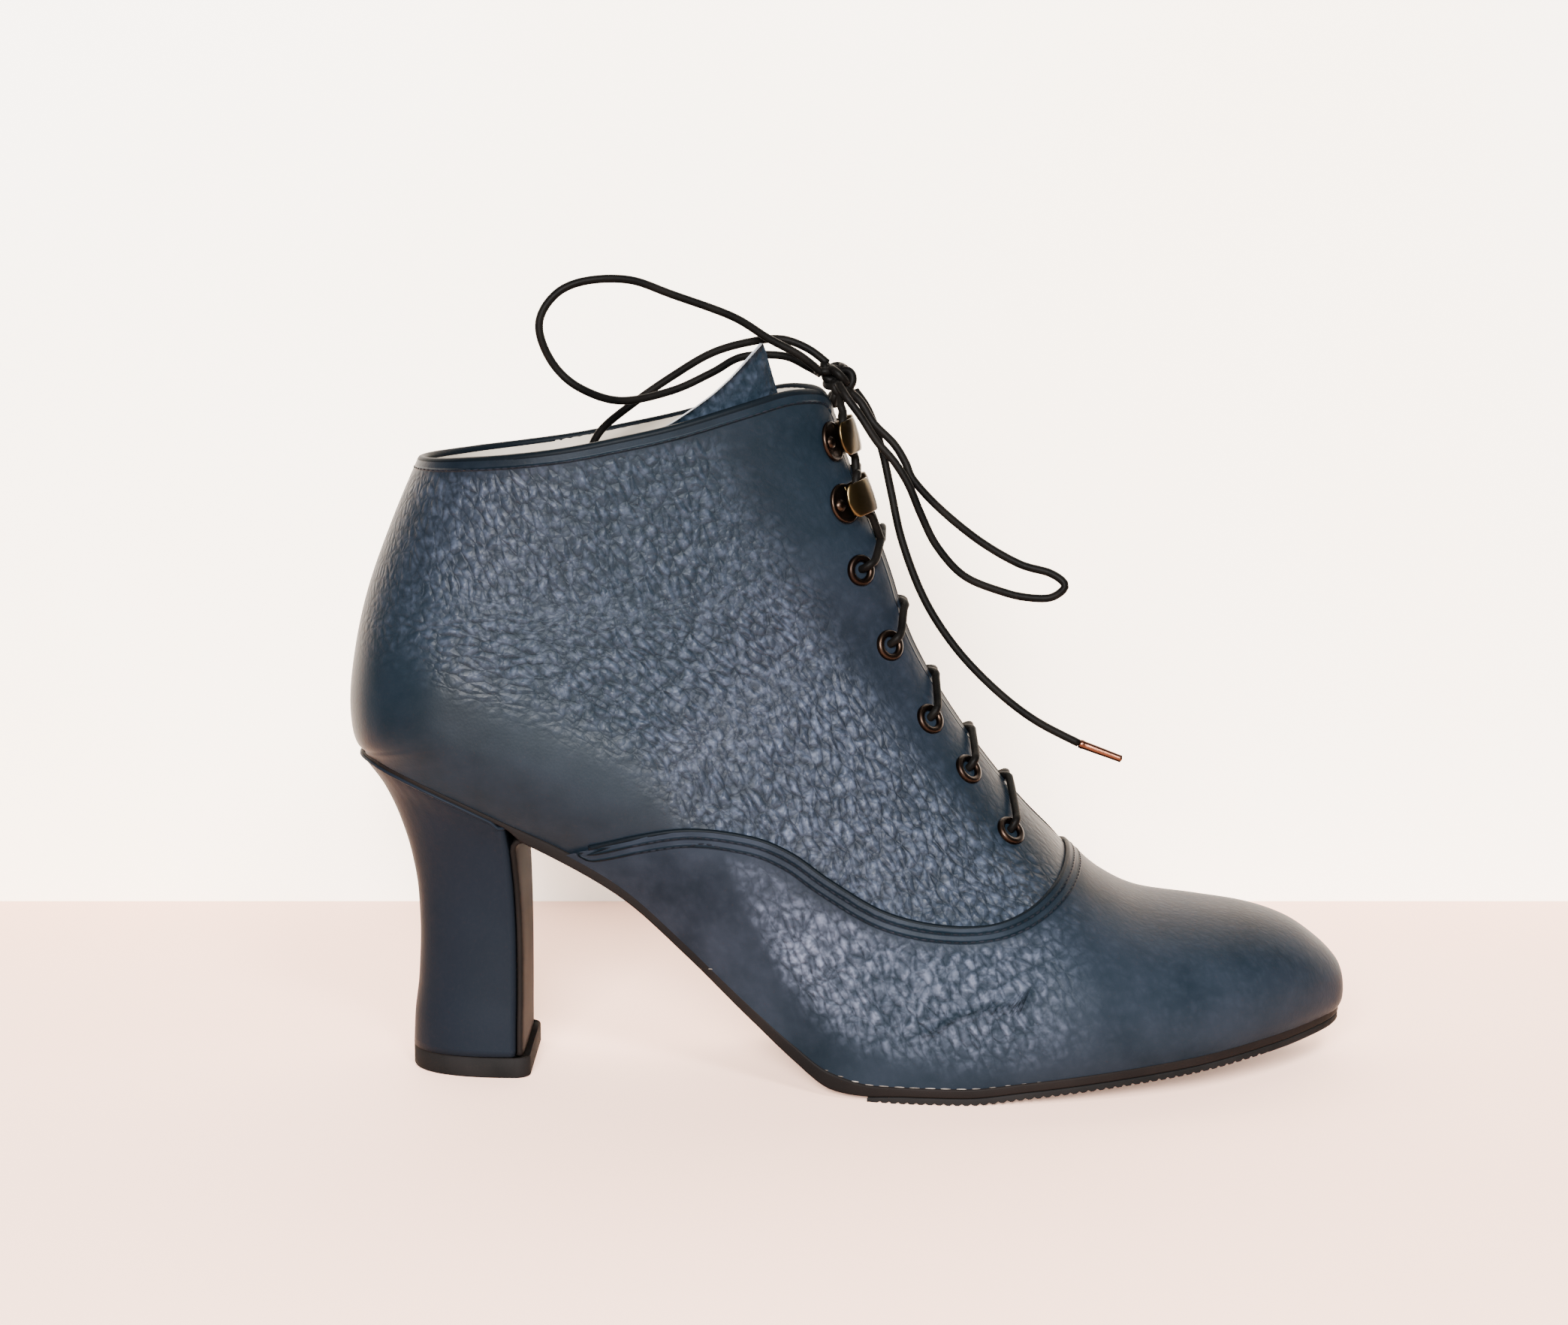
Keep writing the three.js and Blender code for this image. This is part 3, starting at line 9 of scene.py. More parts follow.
import bmesh
import bpy
import numpy as np
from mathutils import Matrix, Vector


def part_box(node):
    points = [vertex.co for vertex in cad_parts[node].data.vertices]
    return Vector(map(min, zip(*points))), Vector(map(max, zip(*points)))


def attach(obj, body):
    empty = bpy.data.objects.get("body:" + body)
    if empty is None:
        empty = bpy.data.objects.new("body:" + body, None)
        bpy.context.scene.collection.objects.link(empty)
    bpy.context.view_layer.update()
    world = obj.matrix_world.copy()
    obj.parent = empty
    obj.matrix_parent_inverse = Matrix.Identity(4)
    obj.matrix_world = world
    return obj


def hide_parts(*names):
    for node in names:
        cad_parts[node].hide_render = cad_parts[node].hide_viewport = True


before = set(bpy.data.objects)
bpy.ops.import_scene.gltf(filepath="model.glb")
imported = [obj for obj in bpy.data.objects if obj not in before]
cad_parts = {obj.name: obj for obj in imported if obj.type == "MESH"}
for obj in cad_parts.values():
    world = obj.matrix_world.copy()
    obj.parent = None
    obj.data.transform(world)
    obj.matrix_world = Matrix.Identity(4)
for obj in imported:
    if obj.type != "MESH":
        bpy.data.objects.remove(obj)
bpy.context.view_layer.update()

# Driving sizes of the last and the sole, in millimetres
LENGTH, BALL_WIDTH, HEEL_RISE, TOE_SPRING = 241.4, 79.8, 74.2, 9.8
QUARTER_HEIGHT, FRONT_HEIGHT, COLLAR_CLIMB = 73.9, 163.4, 15.9
WALL, VAMP_STEP, GAP = 2.0, 1.0, 0.3
SOLE_EDGE, LEDGE_WIDTH = 4.0, 1.5
HALF_SOLE, SHANK, SEAT, FLAP = 1.5, 3.3, 1.3, 1.5
LIFT_THICKNESS, TONGUE_THICKNESS = 5.0, 1.4
LACING_GAP, LACE_RADIUS = 6.0, 1.0
EYELET_RADIUS, EYELET_HOLE = 3.75, 2.0
UNDER_ROUNDNESS = 2.2

# The sole's outline: share of length, lateral and medial shares of the ball width, ledge share
OUTLINE = np.array([
    (0.0087, 0, 0, 0), (0.0112, 0.069, 0.069, 0), (0.0186, 0.133, 0.133, 0),
    (0.0348, 0.216, 0.216, 0), (0.0617, 0.283, 0.283, 0), (0.1031, 0.316, 0.316, 0),
    (0.1653, 0.306, 0.303, 0.1), (0.2274, 0.296, 0.281, 0.4), (0.2896, 0.305, 0.276, 0.5),
    (0.3517, 0.336, 0.286, 0.6), (0.4138, 0.385, 0.307, 0.8), (0.476, 0.449, 0.351, 1),
    (0.5174, 0.489, 0.389, 1), (0.5588, 0.516, 0.424, 1), (0.621, 0.531, 0.456, 1),
    (0.6831, 0.526, 0.474, 1), (0.7452, 0.501, 0.477, 1), (0.8074, 0.451, 0.462, 1),
    (0.8488, 0.4, 0.439, 1), (0.8902, 0.326, 0.401, 1), (0.9316, 0.231, 0.343, 1),
    (0.9648, 0.128, 0.273, 1), (0.983, 0.055, 0.213, 1), (0.993, -0.015, 0.155, 1),
    (0.9963, -0.0815, 0.0815, 1),
])
# Height of the sole's upper face: share of length, of the heel's rise, of the toe's spring
SOLE = np.array([
    (-0.02, 1.004, 0), (0.0095, 0.998, 0), (0.0472, 0.965, 0), (0.0965, 0.899, 0),
    (0.157, 0.803, 0), (0.2133, 0.714, 0), (0.273, 0.598, 0), (0.3351, 0.421, 0),
    (0.3973, 0.229, 0), (0.4387, 0.113, 0), (0.476, 0.03, 0), (0.5174, 0, 0),
    (0.6002, 0, 0), (0.6624, 0, 0.15), (0.7452, 0, 0.36), (0.8281, 0, 0.56),
    (0.9109, 0, 0.785), (1.02, 0, 1.06),
])
# Thickness of the leather outsole: share of length, of the seat, shank and forefoot thickness
THICKNESS = np.array([
    (0, 1, 0, 0), (0.158, 1, 0, 0), (0.178, 0, 0.9, 0), (0.24, 0, 1, 0), (0.4, 0, 1.05, 0),
    (0.472, 0, 1.25, 0), (0.512, 0, 0.45, 0.6), (0.55, 0, 0, 1), (1, 0, 0, 1),
])
# Sections of the last, fanned from the toe to above the collar:
# low, rise, front, up, sway, lateral, medial, widest, over, seat
SECTIONS = np.array([
    (0.9959, 0.027, 0.9959, 0.1138, 0.0815, 0.000, 0.000, 0.4, 2.2, 0),
    (0.9938, 0.01, 0.9934, 0.1285, 0.0815, 0.063, 0.063, 0.4, 2.2, 0),
    (0.9872, 0, 0.9872, 0.1469, 0.0789, 0.124, 0.122, 0.36, 2.3, 1),
    (0.9698, 0, 0.9698, 0.1726, 0.0752, 0.198, 0.185, 0.34, 2.3, 1),
    (0.9416, 0, 0.9416, 0.2007, 0.0702, 0.288, 0.258, 0.33, 2.3, 1),
    (0.9027, 0, 0.9027, 0.2197, 0.0652, 0.383, 0.328, 0.32, 2.3, 1),
    (0.8488, 0, 0.8509, 0.2319, 0.0627, 0.476, 0.381, 0.3, 2.25, 1),
    (0.7825, 0, 0.7908, 0.2460, 0.0627, 0.554, 0.414, 0.29, 2.15, 1),
    (0.7121, 0, 0.7494, 0.2766, 0.0627, 0.600, 0.425, 0.28, 2.05, 1),
    (0.6375, 0, 0.7204, 0.3146, 0.0564, 0.602, 0.424, 0.28, 2.02, 1),
    (0.5630, 0, 0.6980, 0.3501, 0.0501, 0.571, 0.404, 0.29, 2.0, 1),
    (0.4884, 0, 0.6748, 0.3856, 0.0401, 0.521, 0.376, 0.3, 2.0, 1),
    (0.4138, 0, 0.6491, 0.4308, 0.0326, 0.469, 0.358, 0.31, 2.0, 1),
    (0.3310, 0, 0.6251, 0.4774, 0.0251, 0.426, 0.353, 0.31, 2.0, 1),
    (0.2481, 0, 0.6044, 0.5214, 0.0188, 0.400, 0.356, 0.29, 2.0, 1),
    (0.1653, 0, 0.5862, 0.5643, 0.0125, 0.388, 0.361, 0.26, 2.0, 1),
    (0.0907, 0, 0.5704, 0.6059, 0.0075, 0.383, 0.368, 0.22, 2.0, 1),
    (0.0389, 0, 0.5580, 0.6450, 0.0038, 0.380, 0.372, 0.19, 2.0, 1),
    (0.0083, 0.008, 0.5489, 0.6854, 0, 0.376, 0.373, 0.2, 2.0, 0),
    (-0.0004, 0.126, 0.5406, 0.7271, 0, 0.372, 0.372, 0.22, 2.0, 0),
    (0.0037, 0.296, 0.5298, 0.7723, 0, 0.366, 0.366, 0.27, 2.0, 0),
    (0.0174, 0.507, 0.5157, 0.8262, 0, 0.358, 0.358, 0.33, 2.0, 0),
    (0.0410, 0.744, 0.5000, 0.8813, 0, 0.358, 0.358, 0.39, 2.0, 0),
    (0.0708, 1.005, 0.4863, 0.9400, 0, 0.366, 0.366, 0.43, 2.0, 0),
    (0.0969, 1.223, 0.4776, 1.0037, 0, 0.376, 0.376, 0.45, 2.0, 0),
    (0.1197, 1.435, 0.4685, 1.0771, 0, 0.386, 0.386, 0.46, 2.0, 0),
])
# Collar edge from the side: share of length, share of the climb above the collar's back
COLLAR = np.array([
    (-0.06, -0.02), (0.0708, 0), (0.1288, 0.05), (0.1765, 0.113), (0.2225, 0.2),
    (0.2672, 0.327), (0.3268, 0.522), (0.3935, 0.811), (0.4308, 0.969), (0.4532, 1),
    (0.4689, 0.962), (0.4768, 0.83), (0.481, 0.62),
])
# Folded top edge of the vamp from the side: share of length, share of the front height
VAMP_EDGE = np.array([
    (0.2088, 0.3335), (0.2212, 0.3446), (0.2738, 0.3684), (0.336, 0.3837), (0.3973, 0.3733),
    (0.437, 0.3501), (0.4743, 0.3121), (0.5244, 0.2693), (0.575, 0.2497), (0.6259, 0.2472),
    (0.6657, 0.265), (0.6984, 0.2974), (0.7191, 0.3299),
])
# How far a heel wall has moved from the seat's outline to the lift's, by share of the way down
HEEL = np.array([
    (-0.08, -0.32), (0, 0), (0.108, 0.466), (0.215, 0.76), (0.34, 0.985), (0.47, 1.11),
    (0.6, 1.14), (0.76, 1.1), (0.9, 1), (1, 0.97),
])
LIFT_BACK, BREAST_TOP, BREAST_FOOT, LIFT_HALF = 0.0585, 0.1665, 0.1727, 0.232
LIFT_SIDE = LIFT_HALF * BALL_WIDTH
HEEL_ROUNDNESS, HEEL_CORNER, LIFT_CORNER, LIFT_REACH = 2.6, 1.5, 3.5, 1.6
# The tongue: half width by section row (row, near, far), and its cut top (across, row)
TONGUE = np.array([
    (8.6, 0.26, 0.26), (12, 0.34, 0.34), (16, 0.42, 0.4), (20, 0.52, 0.48), (22, 0.68, 0.56),
    (23, 0.82, 0.6), (25, 0.82, 0.6),
])
TONGUE_TOP = np.array([
    (-1, 23.4), (-0.8, 24.15), (-0.58, 24.9), (-0.49, 23.95), (-0.3, 23.7), (-0.15, 23.65),
    (0, 23.6), (0.15, 23.6), (0.3, 23.65), (0.6, 23.6), (1, 23.4),
])
TONGUE_START, TONGUE_GAP, LACE_ROOM = 8.6, 0.7, 3.1
# Where the tongue lies lower to leave room for the lace: across values, and section rows
NEAR_FACING, ABOVE_THROAT = (0.36, 0.52), (9.0, 10.4)
TONGUE_COLUMNS, TONGUE_GRAIN = 60, 0.55
# Eyelets and hooks from the throat up: section row, share of the quarter turn from the crest
EYELETS = [(11.22, 0.312), (12.81, 0.27), (14.37, 0.264), (16.9, 0.22), (19.58, 0.244)]
HOOKS = [(21.35, 0.206), (22.84, 0.16)]
HOOK_LENGTH = 7.0
SIDES = {"lateral": -1, "medial": 1}
# Section rows: where the fan begins to wrap round the back, between which rows the collar is
# looked for at the sides and at the front, and where the lacing gap starts
BACK_ROW, BELOW_COLLAR, BELOW_FRONT, TOP_ROW, SLOT_START = 18, 13.0, 20.0, 25.0, 9.6
FOOT = 2.0  # the across value at the sole

# The bow's cords, each a route from the knot outward
KNOT_CENTRE = np.array((-3.8, 0, 165.5))
ROUTES = {
    "lace_loop_back": [
        (-7.7, -2.2, 167.4), (-13, -3.2, 171.6), (-20.4, -4, 175.6), (-28.9, -5.5, 180.8),
        (-43, -8, 186), (-52.3, -10, 189.3), (-61.5, -12, 189.4), (-68.5, -13, 187.1),
        (-72.9, -13.6, 182), (-73.4, -13.6, 176.5), (-70.1, -12.8, 169.4), (-64.1, -12, 164.2),
        (-54.9, -8.8, 161.2), (-43.2, -4, 163.3), (-33.8, -1, 167.4), (-26.7, 2, 171),
        (-17, 3.5, 171.2), (-11, 3.2, 168.6), (-7.9, 2.4, 166.9),
    ],
    "lace_end_back": [
        (-6.4, 0.4, 169.6), (-11, 0.8, 173), (-17.1, 1.2, 175.2), (-24.3, 3.6, 174.6),
        (-33.9, 5.5, 171.8), (-43.6, 7, 166.1), (-53.4, 8, 159.3), (-60.8, 10, 153.1),
        (-64, 11, 147), (-65, 11.4, 142.5),
    ],
    "lace_loop_front": [
        (-1, -3.6, 163), (1.6, -5, 160.4), (4.6, -6, 155.6), (9.2, -6.8, 151),
        (12, -7.6, 146.5), (13.9, -8.2, 142.4), (20.4, -8.6, 135.5), (29.6, -9, 128.1),
        (38.9, -10, 122.8), (46.2, -11, 120.7), (49.6, -12, 117.9), (46.6, -11.7, 115.1),
        (41.5, -11.4, 114.9), (35.2, -11.1, 116.2), (25.9, -10.9, 120), (19.4, -10.6, 127),
        (15.6, -10.4, 134.5), (12.6, -10.3, 141.6), (9.2, -9.8, 147), (5.2, -8.9, 151.6),
        (1.4, -8.2, 157.4), (-2, -7.4, 162), (-3.8, -5.2, 165),
    ],
    "lace_end_front": [
        (0.2, -0.4, 163.2), (3.6, -1, 158), (6.6, -2.6, 149), (8.6, -4.4, 140),
        (11.4, -6, 127.6), (16.7, -8, 114), (24.2, -10, 102.6), (33.5, -12, 93),
        (42.7, -13.5, 86), (53, -14.8, 80.7),
    ],
}
AGLET_END = np.array((63, -16, 77.1))

# The CAD group is centred over the floor's origin: the knot's box shows by how much
knot_low, knot_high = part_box("lace_knot")
SHIFT = np.array([
    500 * (knot_low[axis] + knot_high[axis]) - KNOT_CENTRE[axis] for axis in (0, 1)
] + [0.0])


def to_frame(points):
    return (np.asarray(points, float) + SHIFT) / 1000


# Smooth tables and the last's surface

def mix(a, b, share):
    return a + (b - a) * share


def smooth(low, high, value):
    f = np.clip((value - low) / (high - low), 0, 1)
    return f * f * (3 - 2 * f)


def x_at(along):
    return (along - 0.5) * LENGTH


def along_at(x):
    return x / LENGTH + 0.5


def row_at(table, position):
    """Every column of a table at fractional rows, on a smooth curve through them."""
    last = len(table) - 1
    position = np.asarray(position, float)
    index = np.clip(np.floor(position), 0, last - 1).astype(int)
    f = (position - index)[..., None]
    a, b, c, d = [table[np.clip(index + step, 0, last)] for step in (-1, 0, 1, 2)]
    return 0.5 * (2 * b + (c - a) * f + (2 * a - 5 * b + 4 * c - d) * f**2
                  + (3 * b - a - 3 * c + d) * f**3)


def follow(table, column, value):
    """One column of a table as a never overshooting function of its first column."""
    x, y = table[:, 0], table[:, column]
    width = np.diff(x)
    slope = np.diff(y) / width
    tangent = np.empty(len(x))
    tangent[0], tangent[-1] = slope[0], slope[-1]
    before, after = slope[:-1], slope[1:]
    w1, w2 = 2 * width[1:] + width[:-1], width[1:] + 2 * width[:-1]
    with np.errstate(divide="ignore", invalid="ignore"):
        middle = (w1 + w2) / (w1 / before + w2 / after)
    tangent[1:-1] = np.where(before * after <= 0, 0, middle)
    value = np.asarray(value, float)
    i = np.clip(np.searchsorted(x, value) - 1, 0, len(x) - 2)
    f = np.clip((value - x[i]) / width[i], 0, 1)
    return ((2 * f**3 - 3 * f**2 + 1) * y[i] + (f**3 - 2 * f**2 + f) * tangent[i] * width[i]
            + (3 * f**2 - 2 * f**3) * y[i + 1] + (f**3 - f**2) * tangent[i + 1] * width[i])


stations = row_at(OUTLINE, np.arange(0, 2 * len(OUTLINE) - 1) / 2)
STATION_X = x_at(stations[:, 0])
STATION = {
    "lateral": -stations[:, 1] * BALL_WIDTH,
    "medial": stations[:, 2] * BALL_WIDTH,
    "ledge": stations[:, 3] * LEDGE_WIDTH,
}
HEEL_TIP, TOE_TIP = STATION_X[0], STATION_X[-1]


def station_at(x, name):
    return np.interp(x, STATION_X, STATION[name])


def sole_top(x):
    along = along_at(x)
    return SOLE_EDGE + follow(SOLE, 1, along) * HEEL_RISE + follow(SOLE, 2, along) * TOE_SPRING


FORE = SOLE_EDGE - HALF_SOLE - GAP


def sole_bottom(x):
    along = along_at(x)
    return (sole_top(x) - follow(THICKNESS, 1, along) * SEAT
            - follow(THICKNESS, 2, along) * SHANK - follow(THICKNESS, 3, along) * FORE)


LOW, RISE, FRONT, UP, SWAY, LATERAL, MEDIAL, WIDEST, OVER, ON_SOLE = range(10)


def last_point(position, across):
    """A point of the last: position is a section row, across runs from -2 at the lateral
    sole or back, over -1 at the widest line and 0 at the crest, to 2 on the medial side."""
    position, across = np.broadcast_arrays(np.asarray(position, float), np.asarray(across, float))
    row = row_at(SECTIONS, position)
    near = across < 0
    low_x = x_at(row[..., LOW])
    zero = np.zeros_like(low_x)
    low = np.stack([low_x, zero, sole_top(low_x) + row[..., RISE] * QUARTER_HEIGHT], -1)
    front = np.stack([x_at(row[..., FRONT]), zero, row[..., UP] * FRONT_HEIGHT], -1)
    sway = row[..., SWAY] * BALL_WIDTH
    half = np.maximum(np.where(near, row[..., LATERAL], row[..., MEDIAL]) * BALL_WIDTH, 0)
    reach = np.where(near, sway - station_at(low_x, "lateral"),
                     station_at(low_x, "medial") - sway) - station_at(low_x, "ledge")
    feather = np.clip(3 * row[..., ON_SOLE], 0, 1) * np.maximum(reach, 0)
    share = np.where(half > 0, np.clip(feather / np.maximum(half, 1e-9), 0, 0.985), 0)
    run = front - low
    height = np.linalg.norm(run, axis=-1)
    run = run / height[..., None]
    belly = row[..., WIDEST] * height
    start = belly * ((1 - share**UNDER_ROUNDNESS) ** (-1 / UNDER_ROUNDNESS) - 1)
    first = np.arcsin(share ** (UNDER_ROUNDNESS / 2))
    s = 2 - np.abs(across)
    lower = s < 1
    angle = np.where(lower, first + (np.pi / 2 - first) * s, s * np.pi / 2)
    cos, sin = np.abs(np.cos(angle)), np.maximum(np.sin(angle), 0)
    over = row[..., OVER]
    along = np.where(lower, belly - (belly + start) * cos ** (2 / UNDER_ROUNDNESS),
                     belly + (height - belly) * cos ** (2 / over))
    out = half * np.where(lower, sin ** (2 / UNDER_ROUNDNESS), sin ** (2 / over))
    point = low + run * along[..., None]
    point[..., 1] = sway + np.where(near, -1, 1) * out
    return point


STEP = 0.02  # rows and across values over which a direction on the last is measured


def last_frame(position, across, step=STEP):
    """Point, outward normal and the directions of growing row and growing across."""
    position, across = np.broadcast_arrays(np.asarray(position, float), np.asarray(across, float))
    back = position > BACK_ROW
    wrapped = lambda a: np.where(back, (a + 2) % 4 - 2, np.clip(a, -2, 2))
    point = last_point(position, across)
    up = (last_point(np.minimum(position + step, TOP_ROW), across)
          - last_point(np.maximum(position - step, 0), across))
    over = (last_point(position, wrapped(across + step))
            - last_point(position, wrapped(across - step)))
    normal = unit(np.cross(over, up))
    return point, normal, unit(up), unit(over)


def unit(v):
    return v / np.maximum(np.linalg.norm(v, axis=-1, keepdims=True), 1e-12)


def skin(position, across, lift=0.0):
    point, normal, _, _ = last_frame(position, across)
    return point + normal * np.broadcast_to(np.asarray(lift, float), point.shape[:-1])[..., None]


def bisect(function, low, high, turns=34):
    """Where a function that is positive at low and negative at high crosses nought."""
    low, high = np.broadcast_arrays(np.asarray(low, float), np.asarray(high, float))
    low, high = low.copy(), high.copy()
    for _ in range(turns):
        middle = (low + high) / 2
        positive = function(middle) > 0
        low = np.where(positive, middle, low)
        high = np.where(positive, high, middle)
    return (low + high) / 2


# Edges of the upper

collar_back = sole_top(x_at(COLLAR[1, 0])) + QUARTER_HEIGHT
collar_curve = row_at(COLLAR, np.linspace(0, len(COLLAR) - 1, 240))
COLLAR_X, COLLAR_Z = x_at(collar_curve[:, 0]), collar_back + collar_curve[:, 1] * COLLAR_CLIMB
vamp_curve = row_at(VAMP_EDGE, np.linspace(0, len(VAMP_EDGE) - 1, 240))
VAMP_X, VAMP_Z = x_at(vamp_curve[:, 0]), vamp_curve[:, 1] * FRONT_HEIGHT


def under_collar(position, across):
    point = last_point(position, across)
    return np.interp(point[..., 0], COLLAR_X, COLLAR_Z) - point[..., 2]


PAST_VAMP = 4  # how steeply the vamp's edge falls off ahead of its last point


def above_vamp(position, across):
    point = last_point(position, across)
    ahead = np.maximum(point[..., 0] - VAMP_X[-1], 0) * PAST_VAMP
    return point[..., 2] - np.interp(point[..., 0], VAMP_X, VAMP_Z) - ahead


# The gap's share of its full width at its foot, and the rows over which it opens and is round
SLOT_FOOT_SHARE, SLOT_OPENING, SLOT_ROUND = 0.55, 5, 0.25


def slot_half(position):
    """Half width of the lacing gap, with a rounded foot."""
    up = position - SLOT_START
    open_share = np.clip(SLOT_FOOT_SHARE + up / SLOT_OPENING, 0, 1)
    foot = np.sqrt(np.clip(up / SLOT_ROUND, 0, 1))
    return LACING_GAP / 2 * open_share * foot


def across_of(position, distance, side):
    """The across value that lies a distance to one side of the crest line."""
    row = row_at(SECTIONS, position)
    half = row[..., LATERAL if side < 0 else MEDIAL] * BALL_WIDTH
    share = np.clip(distance / np.maximum(half, 1e-9), 0, 1)
    return side * np.arcsin(share ** (row[..., OVER] / 2)) / (np.pi / 2)


def slot_across(position, side):
    return across_of(position, slot_half(position), side)


vamp_crest = float(bisect(lambda p: -above_vamp(p, 0.0), 8.0, 11.0))
vamp_waist = float(bisect(lambda p: -above_vamp(p, FOOT), 12.0, 16.0))


def vamp_edge_across(position, side):
    """Where the vamp's folded edge lies on a section, as an across value."""
    found = bisect(lambda a: above_vamp(position, side * a), np.zeros_like(position), FOOT)
    return side * np.where(position <= vamp_crest, 0, found)


# Mesh helpers

def add_object(name, mesh, material, nodes):
    """A piece that rides on the boot and stands in for one CAD node or several."""
    piece = bpy.data.objects.new(name, mesh)
    bpy.context.scene.collection.objects.link(piece)
    if material:
        mesh.materials.append(material)
    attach(piece, "root")
    for node in [nodes] if isinstance(nodes, str) else nodes:
        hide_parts(node)
    return piece


def mesh_of(name, points, faces, uv, weld=1e-6):
    """A mesh from points in millimetres; uv gives each point a place in a pattern."""
    mesh = bpy.data.meshes.new(name)
    mesh.from_pydata([tuple(p) for p in to_frame(points)], [],
                     [tuple(int(i) for i in f) for f in faces])
    corners = np.empty(len(mesh.loops), dtype=np.int32)
    mesh.loops.foreach_get("vertex_index", corners)
    layer = mesh.uv_layers.new(name="surface")
    layer.data.foreach_set("uv", np.asarray(uv, float)[corners].ravel())
    if weld:
        work = bmesh.new()
        work.from_mesh(mesh)
        bmesh.ops.remove_doubles(work, verts=work.verts, dist=weld)
        bmesh.ops.dissolve_degenerate(work, edges=work.edges, dist=1e-7)
        work.to_mesh(mesh)
        work.free()
    mesh.shade_smooth()
    mesh.update()
    return mesh


def build(name, part, material, nodes, weld=1e-6):
    """A piece from a (points, faces, uv) part."""
    return add_object(name, mesh_of(name, *part, weld=weld), material, nodes)


def grid_faces(rows, columns, start=0, flip=False, closed=False):
    """Quads of a grid whose points run column by column within each row."""
    across = columns if closed else columns - 1
    i, k = np.meshgrid(np.arange(rows - 1), np.arange(across), indexing="ij")
    next_k = (k + 1) % columns
    a, b = start + i * columns + k, start + i * columns + next_k
    c, d = b + columns, a + columns
    quads = np.stack([a, b, c, d], -1).reshape(-1, 4)
    return quads[:, ::-1] if flip else quads


def join(*parts):
    """Joins (points, faces, uv) parts into one."""
    points, faces, uvs, start = [], [], [], 0
    for p, f, u in parts:
        p = np.asarray(p, float).reshape(-1, 3)
        points.append(p)
        faces += [tuple(np.asarray(q) + start) for q in f]
        uvs.append(np.asarray(u, float).reshape(-1, 2))
        start += len(p)
    return np.concatenate(points), faces, np.concatenate(uvs)


END_RISE = 0.35  # how far a tube's end rises, in radii


def run_length(points):
    """How far along a polyline each of its points lies."""
    steps = np.linalg.norm(np.diff(points, axis=0), axis=1)
    return np.concatenate([[0], np.cumsum(steps)])


def even_places(length, step):
    return np.linspace(0, length[-1], max(int(round(length[-1] / step)), 2) + 1)


def even(points, step, closed=False):
    """A polyline resampled at an even step."""
    points = np.asarray(points, float)
    if closed:
        points = np.concatenate([points, points[:1]])
    length = run_length(points)
    at = even_places(length, step)
    if closed:
        at = at[:-1]
    return np.stack([np.interp(at, length, column) for column in points.T], 1)


def catmull(points, steps=8):
    """A smooth curve through a route's points, with a number of steps to each span."""
    points = np.asarray(points, float)
    return row_at(points, np.linspace(0, len(points) - 1, steps * (len(points) - 1) + 1))


def tube(path, radius, facets=10, hint=(0.0, 0.0, 1.0), closed=False):
    """A tube along a path in millimetres; its UV runs along (u, mm) and around (v, mm)."""
    path = np.asarray(path, float)
    count = len(path)
    if closed:
        ahead = unit(np.roll(path, -1, 0) - np.roll(path, 1, 0))
    else:
        ahead = unit(np.gradient(path, axis=0))
    side = np.empty_like(path)
    current = np.cross(ahead[0], hint)
    if np.linalg.norm(current) < 1e-3:
        current = np.cross(ahead[0], (1.0, 0.0, 0.0))
    for i in range(count):
        current = unit(current - ahead[i] * np.dot(current, ahead[i]))
        side[i] = current
    if closed:
        # The frame's turn after one round is spread over it, so that the seam closes
        end = unit(side[-1] - ahead[0] * np.dot(side[-1], ahead[0]))
        turn = math.atan2(np.dot(np.cross(side[0], end), ahead[0]), np.dot(side[0], end))
        angles = -turn * np.arange(count) / count
        third = np.cross(ahead, side)
        side = side * np.cos(angles)[:, None] + third * np.sin(angles)[:, None]
    third = np.cross(ahead, side)
    around = np.arange(facets + 1) * 2 * np.pi / facets
    radii = np.broadcast_to(np.asarray(radius, float), (count,))
    ring = (side[:, None] * np.cos(around)[None, :, None]
            + third[:, None] * np.sin(around)[None, :, None])
    points = path[:, None] + radii[:, None, None] * ring
    along = run_length(path)
    uv = np.stack(np.broadcast_arrays(along[:, None], (around * radii.mean())[None, :]), -1)
    rows = count
    if closed:
        points = np.concatenate([points, points[:1]])
        last = along[-1] + np.linalg.norm(path[0] - path[-1])
        uv = np.concatenate([uv, np.stack([np.full(facets + 1, last), uv[0, :, 1]], -1)[None]])
        rows += 1
    faces = list(grid_faces(rows, facets + 1))
    flat = points.reshape(-1, 3)
    flat_uv = uv.reshape(-1, 2)
    if not closed:
        # Each end is closed by a low point
        for row, way in ((0, -1), (rows - 1, 1)):
            tip = path[row] + ahead[row] * way * radii[row] * END_RISE
            flat = np.concatenate([flat, tip[None]])
            flat_uv = np.concatenate([flat_uv, flat_uv[row * (facets + 1)][None]])
            middle = len(flat) - 1
            for a in range(row * (facets + 1), row * (facets + 1) + facets):
                faces.append((middle, a, a + 1) if way > 0 else (middle, a + 1, a))
    return flat, faces, flat_uv


# The upper

FINE = 1.0


def cuts(count):
    return int(count * FINE)


